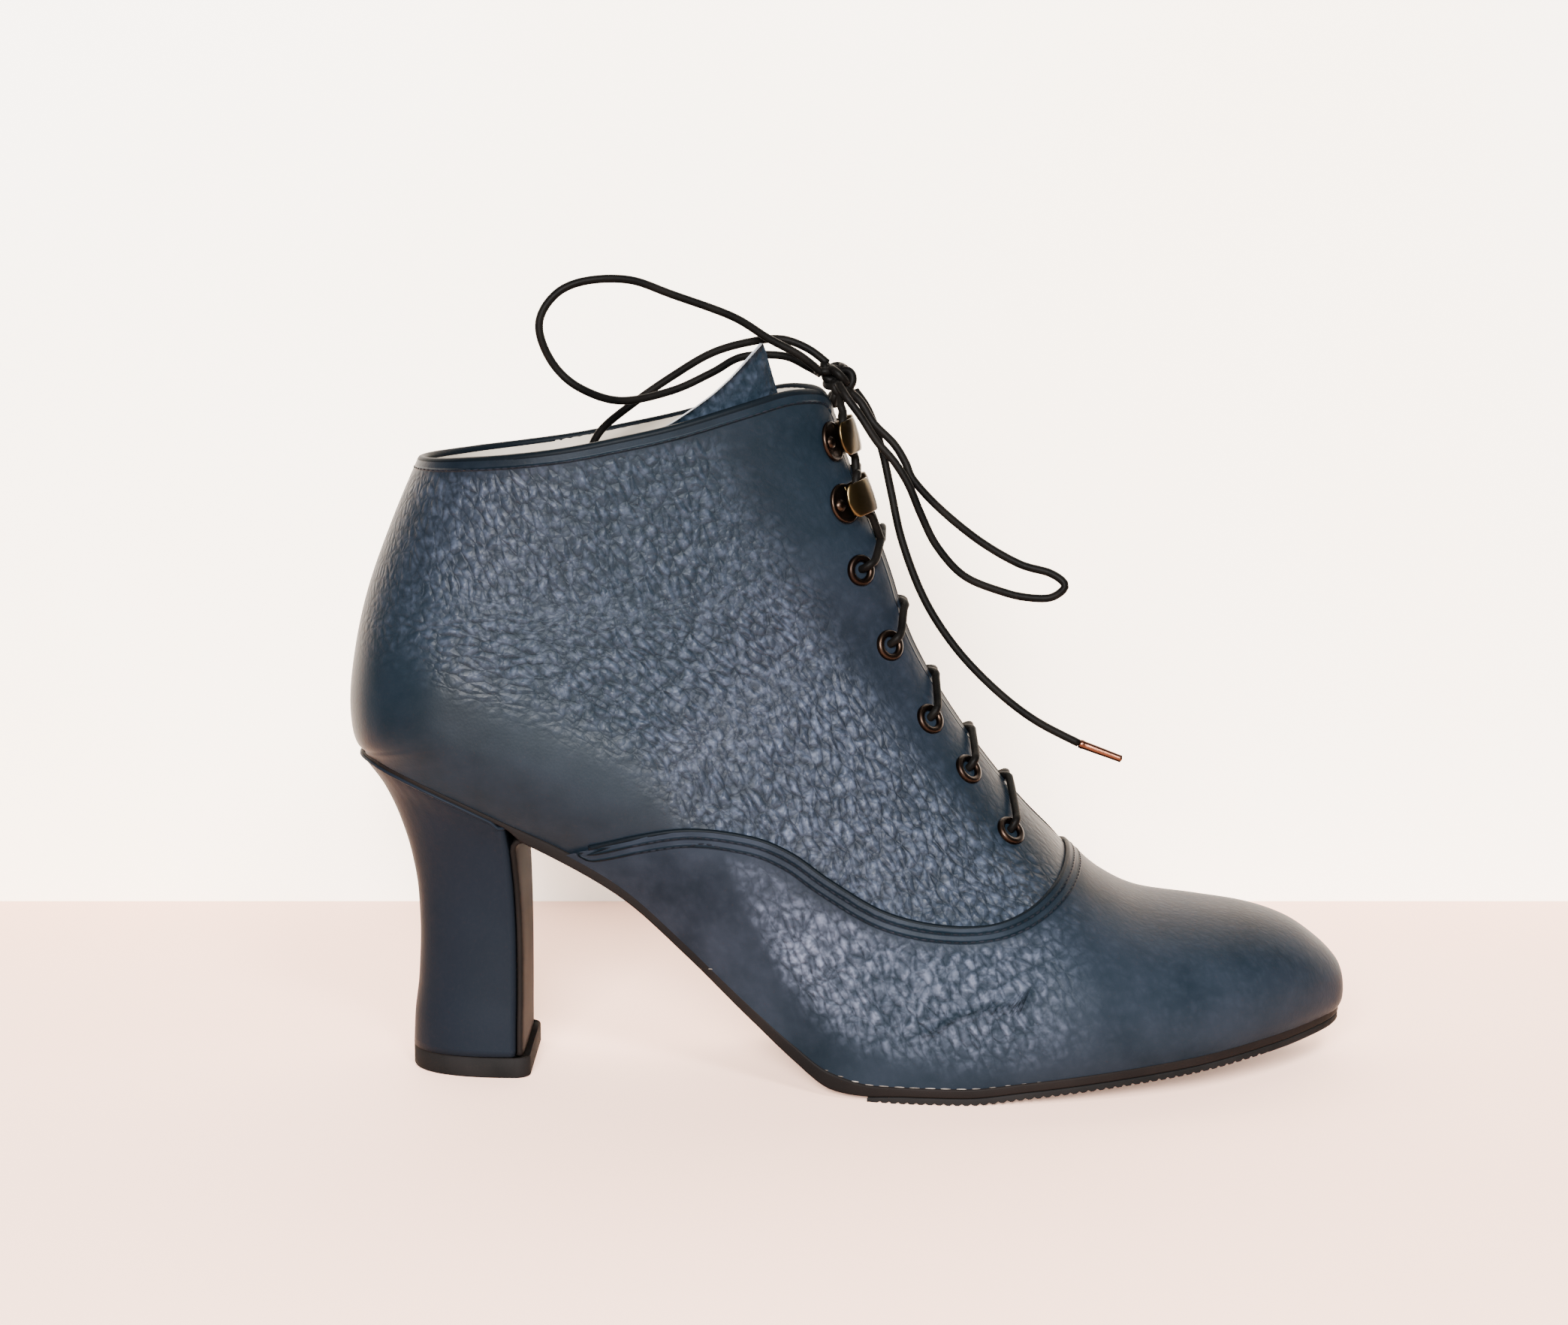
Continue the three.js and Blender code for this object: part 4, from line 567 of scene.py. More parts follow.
def upper_grid(start, lift, rows, columns):
    """The upper's skin on both sides, its edges on the collar and the lacing gap."""
    t = np.linspace(0, 1, columns) ** 0.9
    v = np.linspace(0, 1, rows)[:, None] ** 1.25
    parts = []
    for side in (-1, 1):
        def across(position):
            return side * mix(np.abs(slot_across(position, side)), FOOT, t)

        top = bisect(lambda p: under_collar(p, across(p)), np.full(columns, BELOW_COLLAR), TOP_ROW)
        position = start + (top - start) * v
        place = across(position)
        parts.append((skin(position, place, lift), grid_faces(rows, columns, flip=side > 0),
                      np.stack([position, place], -1)))
    return parts


def edge_loop(slot_steps=260, collar_steps=320):
    """The upper's free edge in (row, across): up one facing, round the collar, down the other."""
    pieces = []
    for side in (-1, 1):
        top = float(bisect(lambda p: under_collar(p, slot_across(p, side)), BELOW_FRONT, TOP_ROW))
        slot_rows = SLOT_START + (top - SLOT_START) * np.linspace(0, 1, slot_steps) ** 1.6
        slot = np.stack([slot_rows, slot_across(slot_rows, side)], 1)
        across = side * mix(abs(float(slot_across(np.float64(top), side))), FOOT,
                            np.linspace(0, 1, collar_steps) ** 1.3)
        rows = bisect(lambda p: under_collar(p, across), np.full(collar_steps, BELOW_COLLAR),
                      TOP_ROW)
        pieces.append((slot, np.stack([rows, across], 1)))
    (slot_near, collar_near), (slot_far, collar_far) = pieces
    return slot_near, collar_near, collar_far[::-1], slot_far[::-1]


def surface_curve(params, lift, step):
    """A curve on the last through (row, across) places, evenly spaced, with its normals."""
    point, normal, _, _ = last_frame(params[:, 0], params[:, 1])
    joined = np.concatenate([point + normal * lift, normal], 1)
    length = run_length(joined[:, :3])
    keep = np.concatenate([[True], np.diff(length) > 1e-6])
    joined, length = joined[keep], length[keep]
    at = even_places(length, step)
    out = np.stack([np.interp(at, length, column) for column in joined.T], 1)
    return out[:, :3], unit(out[:, 3:])


def vamp_grid(lift, toe_rows, side_rows, columns):
    """The vamp: its toe across both sides, and its two wings that run back to the waist."""
    t = np.linspace(0, 1, columns) ** 0.92
    rows = np.concatenate([
        np.linspace(0, 1, toe_rows) ** 1.15 * vamp_crest,
        vamp_crest + (vamp_waist - vamp_crest) * (np.arange(1, side_rows + 1) / side_rows) ** 2,
    ])
    parts = []
    for side in (-1, 1):
        edge = np.abs(vamp_edge_across(rows, side))
        across = side * mix(edge[:, None], FOOT, t[None, :])
        position = np.broadcast_to(rows[:, None], across.shape)
        parts.append((skin(position, across, lift), grid_faces(len(rows), columns, flip=side > 0),
                      np.stack([position, across], -1)))
    return parts


def vamp_edge_places(end):
    """The vamp's folded edge in (row, across), from waist to waist over the crest."""
    rows = vamp_crest + (end - vamp_crest) * np.linspace(0, 1, 260) ** 2
    near, far = [np.stack([rows, vamp_edge_across(rows, side)], 1) for side in (-1, 1)]
    return np.concatenate([near[::-1], far[1:]])


def moved_in(params, distance, toward):
    """Places a distance to one side of a curve on the last: toward is the rough direction."""
    position, across, e = params[:, 0], params[:, 1], STEP
    point, normal, _, _ = last_frame(position, across)
    ahead = unit(np.gradient(point, axis=0))
    down = np.cross(ahead, normal)
    down *= np.sign(down @ np.asarray(toward, float))[:, None]
    by_row = (last_point(position + e, across) - last_point(position - e, across)) / (2 * e)
    inner = np.clip(across, -1.97, 1.97)
    by_across = (last_point(position, inner + e) - last_point(position, inner - e)) / (2 * e)
    want = down * distance
    a11, a12, a22 = [(u * v).sum(1) for u, v in
                     ((by_row, by_row), (by_row, by_across), (by_across, by_across))]
    b1, b2 = (by_row * want).sum(1), (by_across * want).sum(1)
    det = a11 * a22 - a12 * a12
    return np.stack([position + (b1 * a22 - b2 * a12) / det,
                     across + (b2 * a11 - b1 * a12) / det], 1)


# Shader nodes

class Socket:
    """A shader output that takes part in Python expressions."""

    def __init__(self, sheet, socket):
        self.sheet, self.socket = sheet, socket

    def _math(self, operation, other=None, clamp=False):
        values = {0: self} if other is None else {0: self, 1: other}
        return self.sheet.node("ShaderNodeMath", dict(operation=operation, use_clamp=clamp), values)

    def __add__(self, other):
        return self._math("ADD", other)

    __radd__ = __add__

    def __mul__(self, other):
        return self._math("MULTIPLY", other)

    __rmul__ = __mul__

    def __sub__(self, other):
        return self._math("SUBTRACT", other)

    def __rsub__(self, other):
        return self.sheet.value(other)._math("SUBTRACT", self)

    def __abs__(self):
        return self._math("ABSOLUTE")

    def clamped(self):
        return self._math("ADD", 0.0, clamp=True)

    def over(self, low, high):
        """Runs smoothly from nought at low to one at high."""
        return self.sheet.node("ShaderNodeMapRange", dict(interpolation_type="SMOOTHSTEP"),
                               {0: self, 1: low, 2: high, 3: 0.0, 4: 1.0})


class Sheet:
    """A material's node tree, with one method that adds any node."""

    def __init__(self, name):
        self.material = bpy.data.materials.new(name)
        self.material.use_nodes = True
        self.tree = self.material.node_tree
        self.tree.nodes.clear()
        output = self.tree.nodes.new("ShaderNodeOutputMaterial")
        self.shader = self.tree.nodes.new("ShaderNodeBsdfPrincipled")
        self.tree.links.new(self.shader.outputs[0], output.inputs[0])

    def node(self, kind, settings=None, values=None, out=0):
        node = self.tree.nodes.new(kind)
        for key, value in (settings or {}).items():
            setattr(node, key, value)
        for key, value in (values or {}).items():
            self.link(node.inputs[key], value)
        return Socket(self, node.outputs[out])

    def link(self, target, value):
        if isinstance(value, Socket):
            self.tree.links.new(value.socket, target)
        else:
            target.default_value = value

    def value(self, number):
        return self.node("ShaderNodeMath", dict(operation="ADD"), {0: number, 1: 0.0})

    def set(self, **inputs):
        for key, value in inputs.items():
            self.link(self.shader.inputs[key.replace("_", " ")], value)

    def place(self):
        return self.node("ShaderNodeTexCoord", out=3)

    def noise(self, vector, scale, detail=3.0, roughness=0.5):
        return self.node("ShaderNodeTexNoise", None, {
            "Vector": vector, "Scale": scale, "Detail": detail, "Roughness": roughness})

    def cells(self, vector, scale, feature):
        return self.node("ShaderNodeTexVoronoi", dict(feature=feature),
                         {"Vector": vector, "Scale": scale})

    def attribute(self, name, out=0):
        return self.node("ShaderNodeAttribute", dict(attribute_name=name), out=out)

    def split(self, vector):
        node = self.tree.nodes.new("ShaderNodeSeparateXYZ")
        self.link(node.inputs[0], vector)
        return [Socket(self, node.outputs[i]) for i in range(3)]

    def blend(self, share, a, b):
        """A colour between two colours."""
        return self.node("ShaderNodeMix", dict(data_type="RGBA"), {0: share, 6: a, 7: b}, out=2)

    def warp(self, vector, scale, amount):
        """A vector pushed about by noise, by an amount in metres."""
        push = self.node("ShaderNodeTexNoise", None,
                         {"Vector": vector, "Scale": scale, "Detail": 2.0}, out=1)
        centred = self.node("ShaderNodeVectorMath", dict(operation="SUBTRACT"),
                            {0: push, 1: (0.5, 0.5, 0.5)})
        scaled = self.node("ShaderNodeVectorMath", dict(operation="SCALE"),
                           {0: centred, "Scale": amount})
        return self.node("ShaderNodeVectorMath", dict(operation="ADD"), {0: vector, 1: scaled})

    def bump(self, height, distance, normal=None):
        values = {"Distance": distance, "Height": height}
        if normal is not None:
            values["Normal"] = normal
        return self.node("ShaderNodeBump", None, values)


def rgb(red, green, blue):
    """A colour picked in 0 to 255 display steps."""
    linear = [c / 12.92 if c <= 0.04045 else ((c + 0.055) / 1.055) ** 2.4
              for c in (red / 255, green / 255, blue / 255)]
    return (*linear, 1.0)


MATT = 1.09  # the low index of a finish that mirrors little of the bright wall


def plain(name, colour, other, roughness, metallic, scale, depth):
    """A finish with a little mottling, grain and uneven gloss."""
    sheet = Sheet(name)
    place = sheet.place()
    patches = sheet.noise(place, scale / 8, 4.0)
    grain = sheet.noise(place, scale * 4, 3.0)
    sheet.set(
        Base_Color=sheet.blend(patches.over(0.3, 0.7), colour, other),
        Roughness=(patches * 0.16 + (roughness - 0.08)).clamped(),
        Metallic=metallic, Normal=sheet.bump(grain, depth),
    )
    if not metallic:
        sheet.set(IOR=MATT)
    return sheet.material


bronze = plain("bronze", rgb(40, 31, 25), rgb(24, 18, 15), 0.36, 1.0, 700, 1e-5)
gilt = plain("gilt", rgb(72, 60, 38), rgb(40, 30, 20), 0.3, 1.0, 500, 1e-5)
copper = plain("copper", rgb(84, 52, 38), rgb(48, 29, 22), 0.25, 1.0, 900, 1e-5)
rubber = plain("rubber", rgb(12, 12, 12), rgb(19, 18, 18), 0.66, 0.0, 500, 4e-5)
black_leather = plain("black_leather", rgb(9, 8, 8), rgb(17, 14, 13), 0.55, 0.0, 260, 3e-5)
raw_edge = plain("raw_edge", rgb(150, 152, 156), rgb(110, 114, 120), 0.85, 0.0, 900, 1.2e-4)
lining = plain("lining", rgb(158, 150, 138), rgb(136, 128, 116), 0.78, 0.0, 300, 5e-5)
thread = plain("thread", rgb(18, 20, 26), rgb(10, 12, 16), 0.6, 0.0, 2000, 3e-5)
pale_thread = plain("pale_thread", rgb(110, 104, 98), rgb(60, 56, 52), 0.6, 0.0, 2000, 3e-5)
lace_wax = plain("lace_wax", rgb(3, 3, 3), rgb(9, 8, 7), 0.45, 0.0, 900, 6e-5)

# How fine each pattern in the leather is, in repeats to a metre
PORES, FINE_GRAIN, CLOUDS, HUES = 1500, 900, 28, 14
SPECKS, SWELLS, GLINTS, WANDER = 700, 160, 420, 130
# How far the pebbles wander, and how high each pattern stands in the leather, in metres
WANDER_REACH, PORE_DEPTH, PEBBLE_DEPTH, SPECK_DEPTH = 2.4e-3, 3.0e-5, 5.6e-4, 4.5e-5
SEAM_DEPTH, CREASE_HOLLOW = 3.5e-4, 6.0e-4
# Pebbles that lie flat, slanted and upright: turn in degrees, stretch, size in metres
PEBBLES = [(8, 2.1, 2.3e-3), (38, 2.1, 2.1e-3), (66, 2.0, 2.2e-3)]
# Seams in millimetres from an edge
COLLAR_SEAM, VAMP_SEAMS = 2.1, (1.6, 3.5)


def dressed_leather(name, pale_and_lit, deep_and_shaded, dark, roughness=0.4, pebbled=True, grooves=(), width=0.5,
                    ior=MATT):
    """Leather: pebbles that stretch along the flow of the upper, pores, sunk seams, a crease.
    Pebble tops and glints are painted highlight; valleys, seams and the crease painted shade.
    """
    sheet = Sheet(name)
    place = sheet.place()
    pores = sheet.cells(place, PORES, "F1")
    fine = sheet.noise(place, FINE_GRAIN, 3.0, 0.6)
    cloud = sheet.noise(place, CLOUDS, 4.0, 0.6)
    normal = sheet.bump(fine * 0.5 + pores * 0.5, PORE_DEPTH)
    tone_and_painted_light = cloud.over(0.3, 0.7) * 0.1 + 0.03
    gloss = fine * 0.08 + cloud * 0.12 + (roughness - 0.1)
    if pebbled:
        strength, slant, steep = sheet.split(sheet.attribute("grain"))
        loose = sheet.warp(place, WANDER, WANDER_REACH)

        def pebbles(turn, stretch, size):
            turned = sheet.node("ShaderNodeMapping", dict(vector_type="TEXTURE"), {
                0: loose, "Rotation": (0, math.radians(turn), 0),
                "Scale": (size * stretch, size, size)})
            return (sheet.cells(turned, 1.0, "DISTANCE_TO_EDGE") * 2.8).clamped()

        flat, slanted, upright = [pebbles(*row) for row in PEBBLES]
        cells = flat * (1 - slant) + slanted * slant
        cells = cells * (1 - steep) + upright * steep
        specks = sheet.cells(loose, SPECKS, "F1")
        small = (1 - specks * specks * 1.9).clamped()
        swell = sheet.noise(place, SWELLS, 2.0)
        cells = cells * 0.75 + small * 0.25
        normal = sheet.bump(cells * strength + swell * 0.35 * strength, PEBBLE_DEPTH, normal)
        normal = sheet.bump(small * strength, SPECK_DEPTH, normal)
        # Painted highlight: pebble tops, and whole pebbles at random, are painted lighter, and
        # their valleys darker as painted shade
        glint = sheet.noise(loose, GLINTS, 2.0, 0.6).over(0.42, 0.66)
        tone_and_painted_light = tone_and_painted_light * (1 - strength) + (cells * 0.8 + 0.2) * strength * (glint * 0.55 + 0.36)
        gloss = gloss + (1 - cells) * strength * 0.18
    if grooves:
        edge = sheet.attribute("edge", 2)
        dip = 0.0
        for at in grooves:
            dip = (1 - abs(edge - at).over(0.0, width)) + dip
        normal = sheet.bump(1 - dip.clamped(), SEAM_DEPTH, normal)
        # Painted shade: the sunk seam lines are also darkened in the colour
        tone_and_painted_light = tone_and_painted_light * (1 - dip.clamped() * 0.9)
        crease = sheet.attribute("crease", 2)
        normal = sheet.bump(1 - crease, CREASE_HOLLOW, normal)
        # Painted shade: the crease is also darkened in the colour
        tone_and_painted_light = tone_and_painted_light * (1 - crease * 0.6)
    hue = sheet.noise(place, HUES, 2.0).over(0.35, 0.65)
    colour = sheet.blend(hue * 0.35, sheet.blend(tone_and_painted_light.clamped(), deep_and_shaded, pale_and_lit), dark)
    sheet.set(Base_Color=colour, Roughness=gloss.clamped(), Normal=normal, IOR=ior)
    return sheet.material


# The light navy is a painted highlight on the pebble tops; the deep navy is the leather's own
# colour and the painted shade in the pebbles' valleys
NAVY_LIT_TOP, NAVY_BASE_AND_SHADE, TEAL = rgb(56, 63, 77), rgb(2, 6, 10), rgb(2, 16, 22)
leather = dressed_leather("leather", NAVY_LIT_TOP, NAVY_BASE_AND_SHADE, TEAL, grooves=[COLLAR_SEAM], ior=1.16)
# The vamp's pebble tops are a lighter navy than the quarters': a painted highlight on its brightly
# lit side
vamp_leather = dressed_leather("vamp_leather", rgb(84, 90, 106), NAVY_BASE_AND_SHADE, TEAL,
                               grooves=VAMP_SEAMS, width=0.55, ior=1.08)
tongue_finish = dressed_leather("tongue_finish", NAVY_LIT_TOP, NAVY_BASE_AND_SHADE, TEAL)
edge_leather = dressed_leather("edge_leather", rgb(14, 17, 23), rgb(4, 7, 10), rgb(7, 12, 16),
                               0.46, False)
smooth_leather = dressed_leather("smooth_leather", rgb(23, 28, 36), rgb(10, 14, 19),
                                 rgb(15, 20, 27), 0.46, False)

FAR = 20.0  # millimetres from an edge past which its distance no longer counts
# The pebbles' flow follows the direction from a point (x, z): the degrees over which they turn
# slanted and then upright, and where, up the boot and behind its front, they all stand upright
FLOW_FROM, SLANTING, RISING = (-88, 46), (-8, -32), (-48, -64)
TOP_BAND, TOP_BEHIND = (108, 122), (-40, -15)
# Plain strips beside the quarters' free edge and beside the vamp's
QUARTER_STRIP, VAMP_STRIP = 2.2, 4.2


def store(mesh, name, kind, field, values):
    mesh.attributes.new(name, kind, "POINT").data.foreach_set(field, values.ravel())


def grain_map(mesh, strength_of, edge_path=None, band=0.0,
              creases_of=lambda at: np.zeros(len(at))):
    """Grain by vertex: pebble strength, two flow weights, the edge's distance, the crease."""
    count = len(mesh.vertices)
    at = np.empty(count * 3)
    mesh.vertices.foreach_get("co", at)
    at = at.reshape(-1, 3) * 1000 - SHIFT
    x, z = at[:, 0], at[:, 2]
    flow = np.degrees(np.arctan2(z - FLOW_FROM[1], x - FLOW_FROM[0])) - 90
    steep = smooth(*RISING, flow)
    slant = smooth(*SLANTING, flow) * (1 - steep)
    high = smooth(*TOP_BAND, z) * (1 - smooth(*TOP_BEHIND, x))
    colours = np.zeros((count, 4))
    far = np.full(count, FAR)
    if edge_path is not None:
        far = np.concatenate([np.linalg.norm(block[:, None] - edge_path[None], axis=2).min(1)
                              for block in np.array_split(at, 60)])
    colours[:, 0] = strength_of(at) * smooth(band - 1, band + 3, far)
    colours[:, 1] = slant * (1 - high)
    colours[:, 2] = np.maximum(steep, high)
    colours[:, 3] = 1
    store(mesh, "grain", "FLOAT_COLOR", "color", colours)
    if edge_path is not None:
        store(mesh, "crease", "FLOAT", "value", creases_of(at))
        store(mesh, "edge", "FLOAT", "value", np.minimum(far, FAR))


# From the side: the boot's front line, the counter's upper line, the facing's plain strip
FRONT_Z, FRONT_X = SECTIONS[:, UP] * FRONT_HEIGHT, x_at(SECTIONS[:, FRONT])
COUNTER_X, COUNTER_Z = [-125, -101, -74, -54, -41, -30, -15], [99, 95, 85, 76, 62, 46, 20]
FACING_Z, FACING_STRIP = [50, 90, 130, 165], [9, 15, 22, 30]


def quarter_grain(at):
    """Strong pebbles over the ankle, fading to the counter, the heel's back and the facing;
    towards the heel's back and the top the fade also darkens the leather as painted shade.
    """
    x, y, z = at.T
    above = smooth(-2, 16, z - np.interp(x, COUNTER_X, COUNTER_Z))
    behind = np.interp(z, FRONT_Z, FRONT_X) - x
    strip = np.interp(z, FACING_Z, FACING_STRIP)
    facing = 0.1 + 0.9 * smooth(-4, 12, behind - strip)
    # Painted shade: weaker pebbles, and so a weaker painted highlight, towards the heel's back and
    # up the top
    back = 0.2 + 0.8 * smooth(-118, -80, x)
    back = back * (1 - 0.25 * smooth(105, 140, z))
    return above * facing * back


# The walking crease across the vamp's side, seen from the side, in the last's x and z
CREASE = catmull([(14.0, 16.6), (17.9, 18.1), (23.0, 21.2), (28.5, 23.0), (34.5, 24.0),
                  (39.9, 26.1), (43.0, 30.5)], 8)
CREASE_WIDTH = 0.9


def crease_depth(at):
    away = np.linalg.norm(at[:, None, [0, 2]] - CREASE[None], axis=2).min(1)
    ends = smooth(12, 18, at[:, 0]) * (1 - smooth(38, 44, at[:, 0]))
    return np.exp(-((away / CREASE_WIDTH) ** 2)) * ends


# How far up from the sole the vamp stays smooth, along its side
WAIST_X, SMOOTH_RISE = [-40, -31, -17, 0, 20, 40], [45, 32, 15, 9, 7, 6]


def vamp_grain(at):
    """Pebbles on the vamp's side, smooth at the sole, waist and toe."""
    x, y, z = at.T
    low = smooth(-5, 8, z - sole_top(x) - np.interp(x, WAIST_X, SMOOTH_RISE))
    waist = smooth(-44, -24, x)
    toe = 1 - 0.97 * smooth(30, 58, x)
    crest = 1 - 0.7 * smooth(36, 50, z)
    return 0.02 + 0.98 * low * waist * toe * crest


# Upper pieces

UNDERLAP = 0.35  # section rows by which the quarters run under the vamp
parts = upper_grid(vamp_crest - UNDERLAP, 0.0, cuts(150), cuts(78))
mesh = mesh_of("quarters", *join(*parts))
slot_near, collar_near, collar_far, slot_far = edge_loop()
rim = np.concatenate([slot_near, collar_near[1:], collar_far[1:], slot_far[1:]])
grain_map(mesh, quarter_grain, surface_curve(rim, 0.0, 0.7)[0], QUARTER_STRIP)
add_object("quarters", mesh, leather, "upper")

parts = vamp_grid(VAMP_STEP, cuts(90), cuts(130), cuts(64))
mesh = mesh_of("vamp", *join(*parts))
vamp_edge = vamp_edge_places(vamp_waist)
grain_map(mesh, vamp_grain, surface_curve(vamp_edge, VAMP_STEP, 0.7)[0], VAMP_STRIP,
          crease_depth)
add_object("vamp", mesh, vamp_leather, "upper")

parts = upper_grid(0.4, -WALL, cuts(170), cuts(60))
build("lining", join(*[(p, [q[::-1] for q in f], u) for p, f, u in parts]), lining, "upper")

# How far the rolled and the folded edge stand proud, and how far the fold is sunk
ROLL_PROUD, FOLD_PROUD, FOLD_SUNK, EDGE_STEP = 0.06, 0.12, 0.08, 0.9
# The rolled edge: up one facing, round the collar and down the other facing
line, _ = surface_curve(rim, -WALL / 2, EDGE_STEP)
build("rolled_edge", tube(line, WALL / 2 + ROLL_PROUD), edge_leather, "upper")

# The vamp's folded edge, a bead that closes the step down to the quarters
line, _ = surface_curve(vamp_edge, VAMP_STEP / 2 - FOLD_SUNK, EDGE_STEP)
build("vamp_fold", tube(line, VAMP_STEP / 2 + FOLD_PROUD), edge_leather, "upper")


# Stitches

def stitch_tree():
    """Geometry Nodes that lay one rounded stitch on every point, along its ahead direction."""
    tree = bpy.data.node_groups.new("stitches", "GeometryNodeTree")
    for label, kind in (("Places", "Geometry"), ("Stitch length", "Float"),
                        ("Stitch width", "Float"), ("Stitch height", "Float"),
                        ("Thread", "Material")):
        tree.interface.new_socket(label, in_out="INPUT", socket_type="NodeSocket" + kind)
    tree.interface.new_socket("Stitches", in_out="OUTPUT", socket_type="NodeSocketGeometry")
    add, link = tree.nodes.new, tree.links.new
    entry, leave = add("NodeGroupInput"), add("NodeGroupOutput")
    bead, size = add("GeometryNodeMeshUVSphere"), add("ShaderNodeCombineXYZ")
    for name, value in (("Segments", 8), ("Rings", 5), ("Radius", 0.5)):
        bead.inputs[name].default_value = value
    for name, socket in (("Stitch length", "X"), ("Stitch width", "Y"), ("Stitch height", "Z")):
        link(entry.outputs[name], size.inputs[socket])
    turned, shape = add("GeometryNodeTransform"), add("GeometryNodeTransform")
    turned.inputs["Rotation"].default_value = (0, math.pi / 2, 0)
    link(bead.outputs["Mesh"], turned.inputs["Geometry"])
    link(turned.outputs["Geometry"], shape.inputs["Geometry"])
    link(size.outputs[0], shape.inputs["Scale"])
    ahead, outward = add("GeometryNodeInputNamedAttribute"), add("GeometryNodeInputNamedAttribute")
    for node, name in ((ahead, "ahead"), (outward, "outward")):
        node.data_type = "FLOAT_VECTOR"
        node.inputs["Name"].default_value = name
    axes = add("FunctionNodeAxesToRotation")
    axes.primary_axis, axes.secondary_axis = "Z", "X"
    link(outward.outputs["Attribute"], axes.inputs["Primary Axis"])
    link(ahead.outputs["Attribute"], axes.inputs["Secondary Axis"])
    lay = add("GeometryNodeInstanceOnPoints")
    link(entry.outputs["Places"], lay.inputs["Points"])
    link(shape.outputs["Geometry"], lay.inputs["Instance"])
    link(axes.outputs["Rotation"], lay.inputs["Rotation"])
    real, soft = add("GeometryNodeRealizeInstances"), add("GeometryNodeSetShadeSmooth")
    dress = add("GeometryNodeSetMaterial")
    link(lay.outputs["Instances"], real.inputs["Geometry"])
    link(real.outputs["Geometry"], soft.inputs["Geometry"])
    link(soft.outputs["Geometry"], dress.inputs["Geometry"])
    link(entry.outputs["Thread"], dress.inputs["Material"])
    link(dress.outputs["Geometry"], leave.inputs[0])
    return tree


stitches_tree = stitch_tree()


def sew(name, lines, size, material, node):
    """Stitches along (points, normals) lines; size is (length, width, height) in millimetres."""
    places = np.concatenate([p for p, _ in lines])
    outward = np.concatenate([n for _, n in lines])
    ahead = np.concatenate([unit(np.gradient(p, axis=0)) for p, _ in lines])
    mesh = bpy.data.meshes.new(name)
    mesh.from_pydata([tuple(p) for p in to_frame(places)], [], [])
    for label, vectors in (("ahead", ahead), ("outward", outward)):
        store(mesh, label, "FLOAT_VECTOR", "vector", vectors)
    holder = bpy.data.objects.new(name, mesh)
    bpy.context.scene.collection.objects.link(holder)
    modifier = holder.modifiers.new("stitches", "NODES")
    modifier.node_group = stitches_tree
    named = {item.name: item.identifier for item in stitches_tree.interface.items_tree
             if item.in_out == "INPUT"}
    for label, number in zip(("Stitch length", "Stitch width", "Stitch height"), size):
        modifier[named[label]] = number / 1000
    modifier[named["Thread"]] = material
    holder.update_tag()
    seen = holder.evaluated_get(bpy.context.evaluated_depsgraph_get())
    made = bpy.data.meshes.new_from_object(seen)
    made.name = name
    bpy.data.objects.remove(holder)
    return add_object(name, made, None, node)


STITCH, STITCH_STEP = (1.45, 0.42, 0.3), 1.9
seam_edge = vamp_edge_places(vamp_waist - 0.05)
lines = [surface_curve(moved_in(seam_edge, distance, (0.5, 0, -1)), VAMP_STEP, STITCH_STEP)
         for distance in VAMP_SEAMS]
sew("vamp_stitches", lines, STITCH, thread, "upper")

collar_edge = np.concatenate([collar_near, collar_far[1:]])
line = surface_curve(moved_in(collar_edge, COLLAR_SEAM, (0, 0, -1)), 0.0, STITCH_STEP)
sew("collar_stitches", [line], STITCH, thread, "upper")

# Tongue

def tongue_face(share, extra):
    """A grid of the tongue's outer face, moved in by an extra depth."""
    side = np.linspace(-1, 1, TONGUE_COLUMNS)
    side = np.sort(np.concatenate([side, TONGUE_TOP[:, 0]]))
    end = np.interp(side, TONGUE_TOP[:, 0], TONGUE_TOP[:, 1])
    position = TONGUE_START + (end[None, :] - TONGUE_START) * share[:, None]
    width = np.where(side[None, :] < 0, follow(TONGUE, 1, position), follow(TONGUE, 2, position))
    across = side[None, :] * width
    near_facing = 1 - smooth(*NEAR_FACING, np.abs(across))
    above_throat = smooth(*ABOVE_THROAT, position)
    depth = WALL + mix(TONGUE_GAP, LACE_ROOM, near_facing * above_throat)
    return skin(position, across, -depth - extra), np.stack([position, across], -1)


share = np.linspace(0, 1, cuts(120))
outer, outer_uv = tongue_face(share, 0.0)
inner, _ = tongue_face(share, TONGUE_THICKNESS)
rows, columns = outer.shape[:2]
rim_index = ([i * columns for i in range(rows)]
             + [(rows - 1) * columns + k for k in range(1, columns)]
             + [i * columns + columns - 1 for i in range(rows - 2, -1, -1)]
             + list(range(columns - 2, 0, -1)))
flat_outer, flat_inner = outer.reshape(-1, 3), inner.reshape(-1, 3)
flat_uv = outer_uv.reshape(-1, 2)
size, start, count = len(flat_outer), 2 * len(flat_outer), len(rim_index)
faces = [*grid_faces(rows, columns), *grid_faces(rows, columns, size, flip=True)]
quads = (rows - 1) * (columns - 1)
face_kinds = [0] * quads + [1] * quads + [2] * (2 * count)
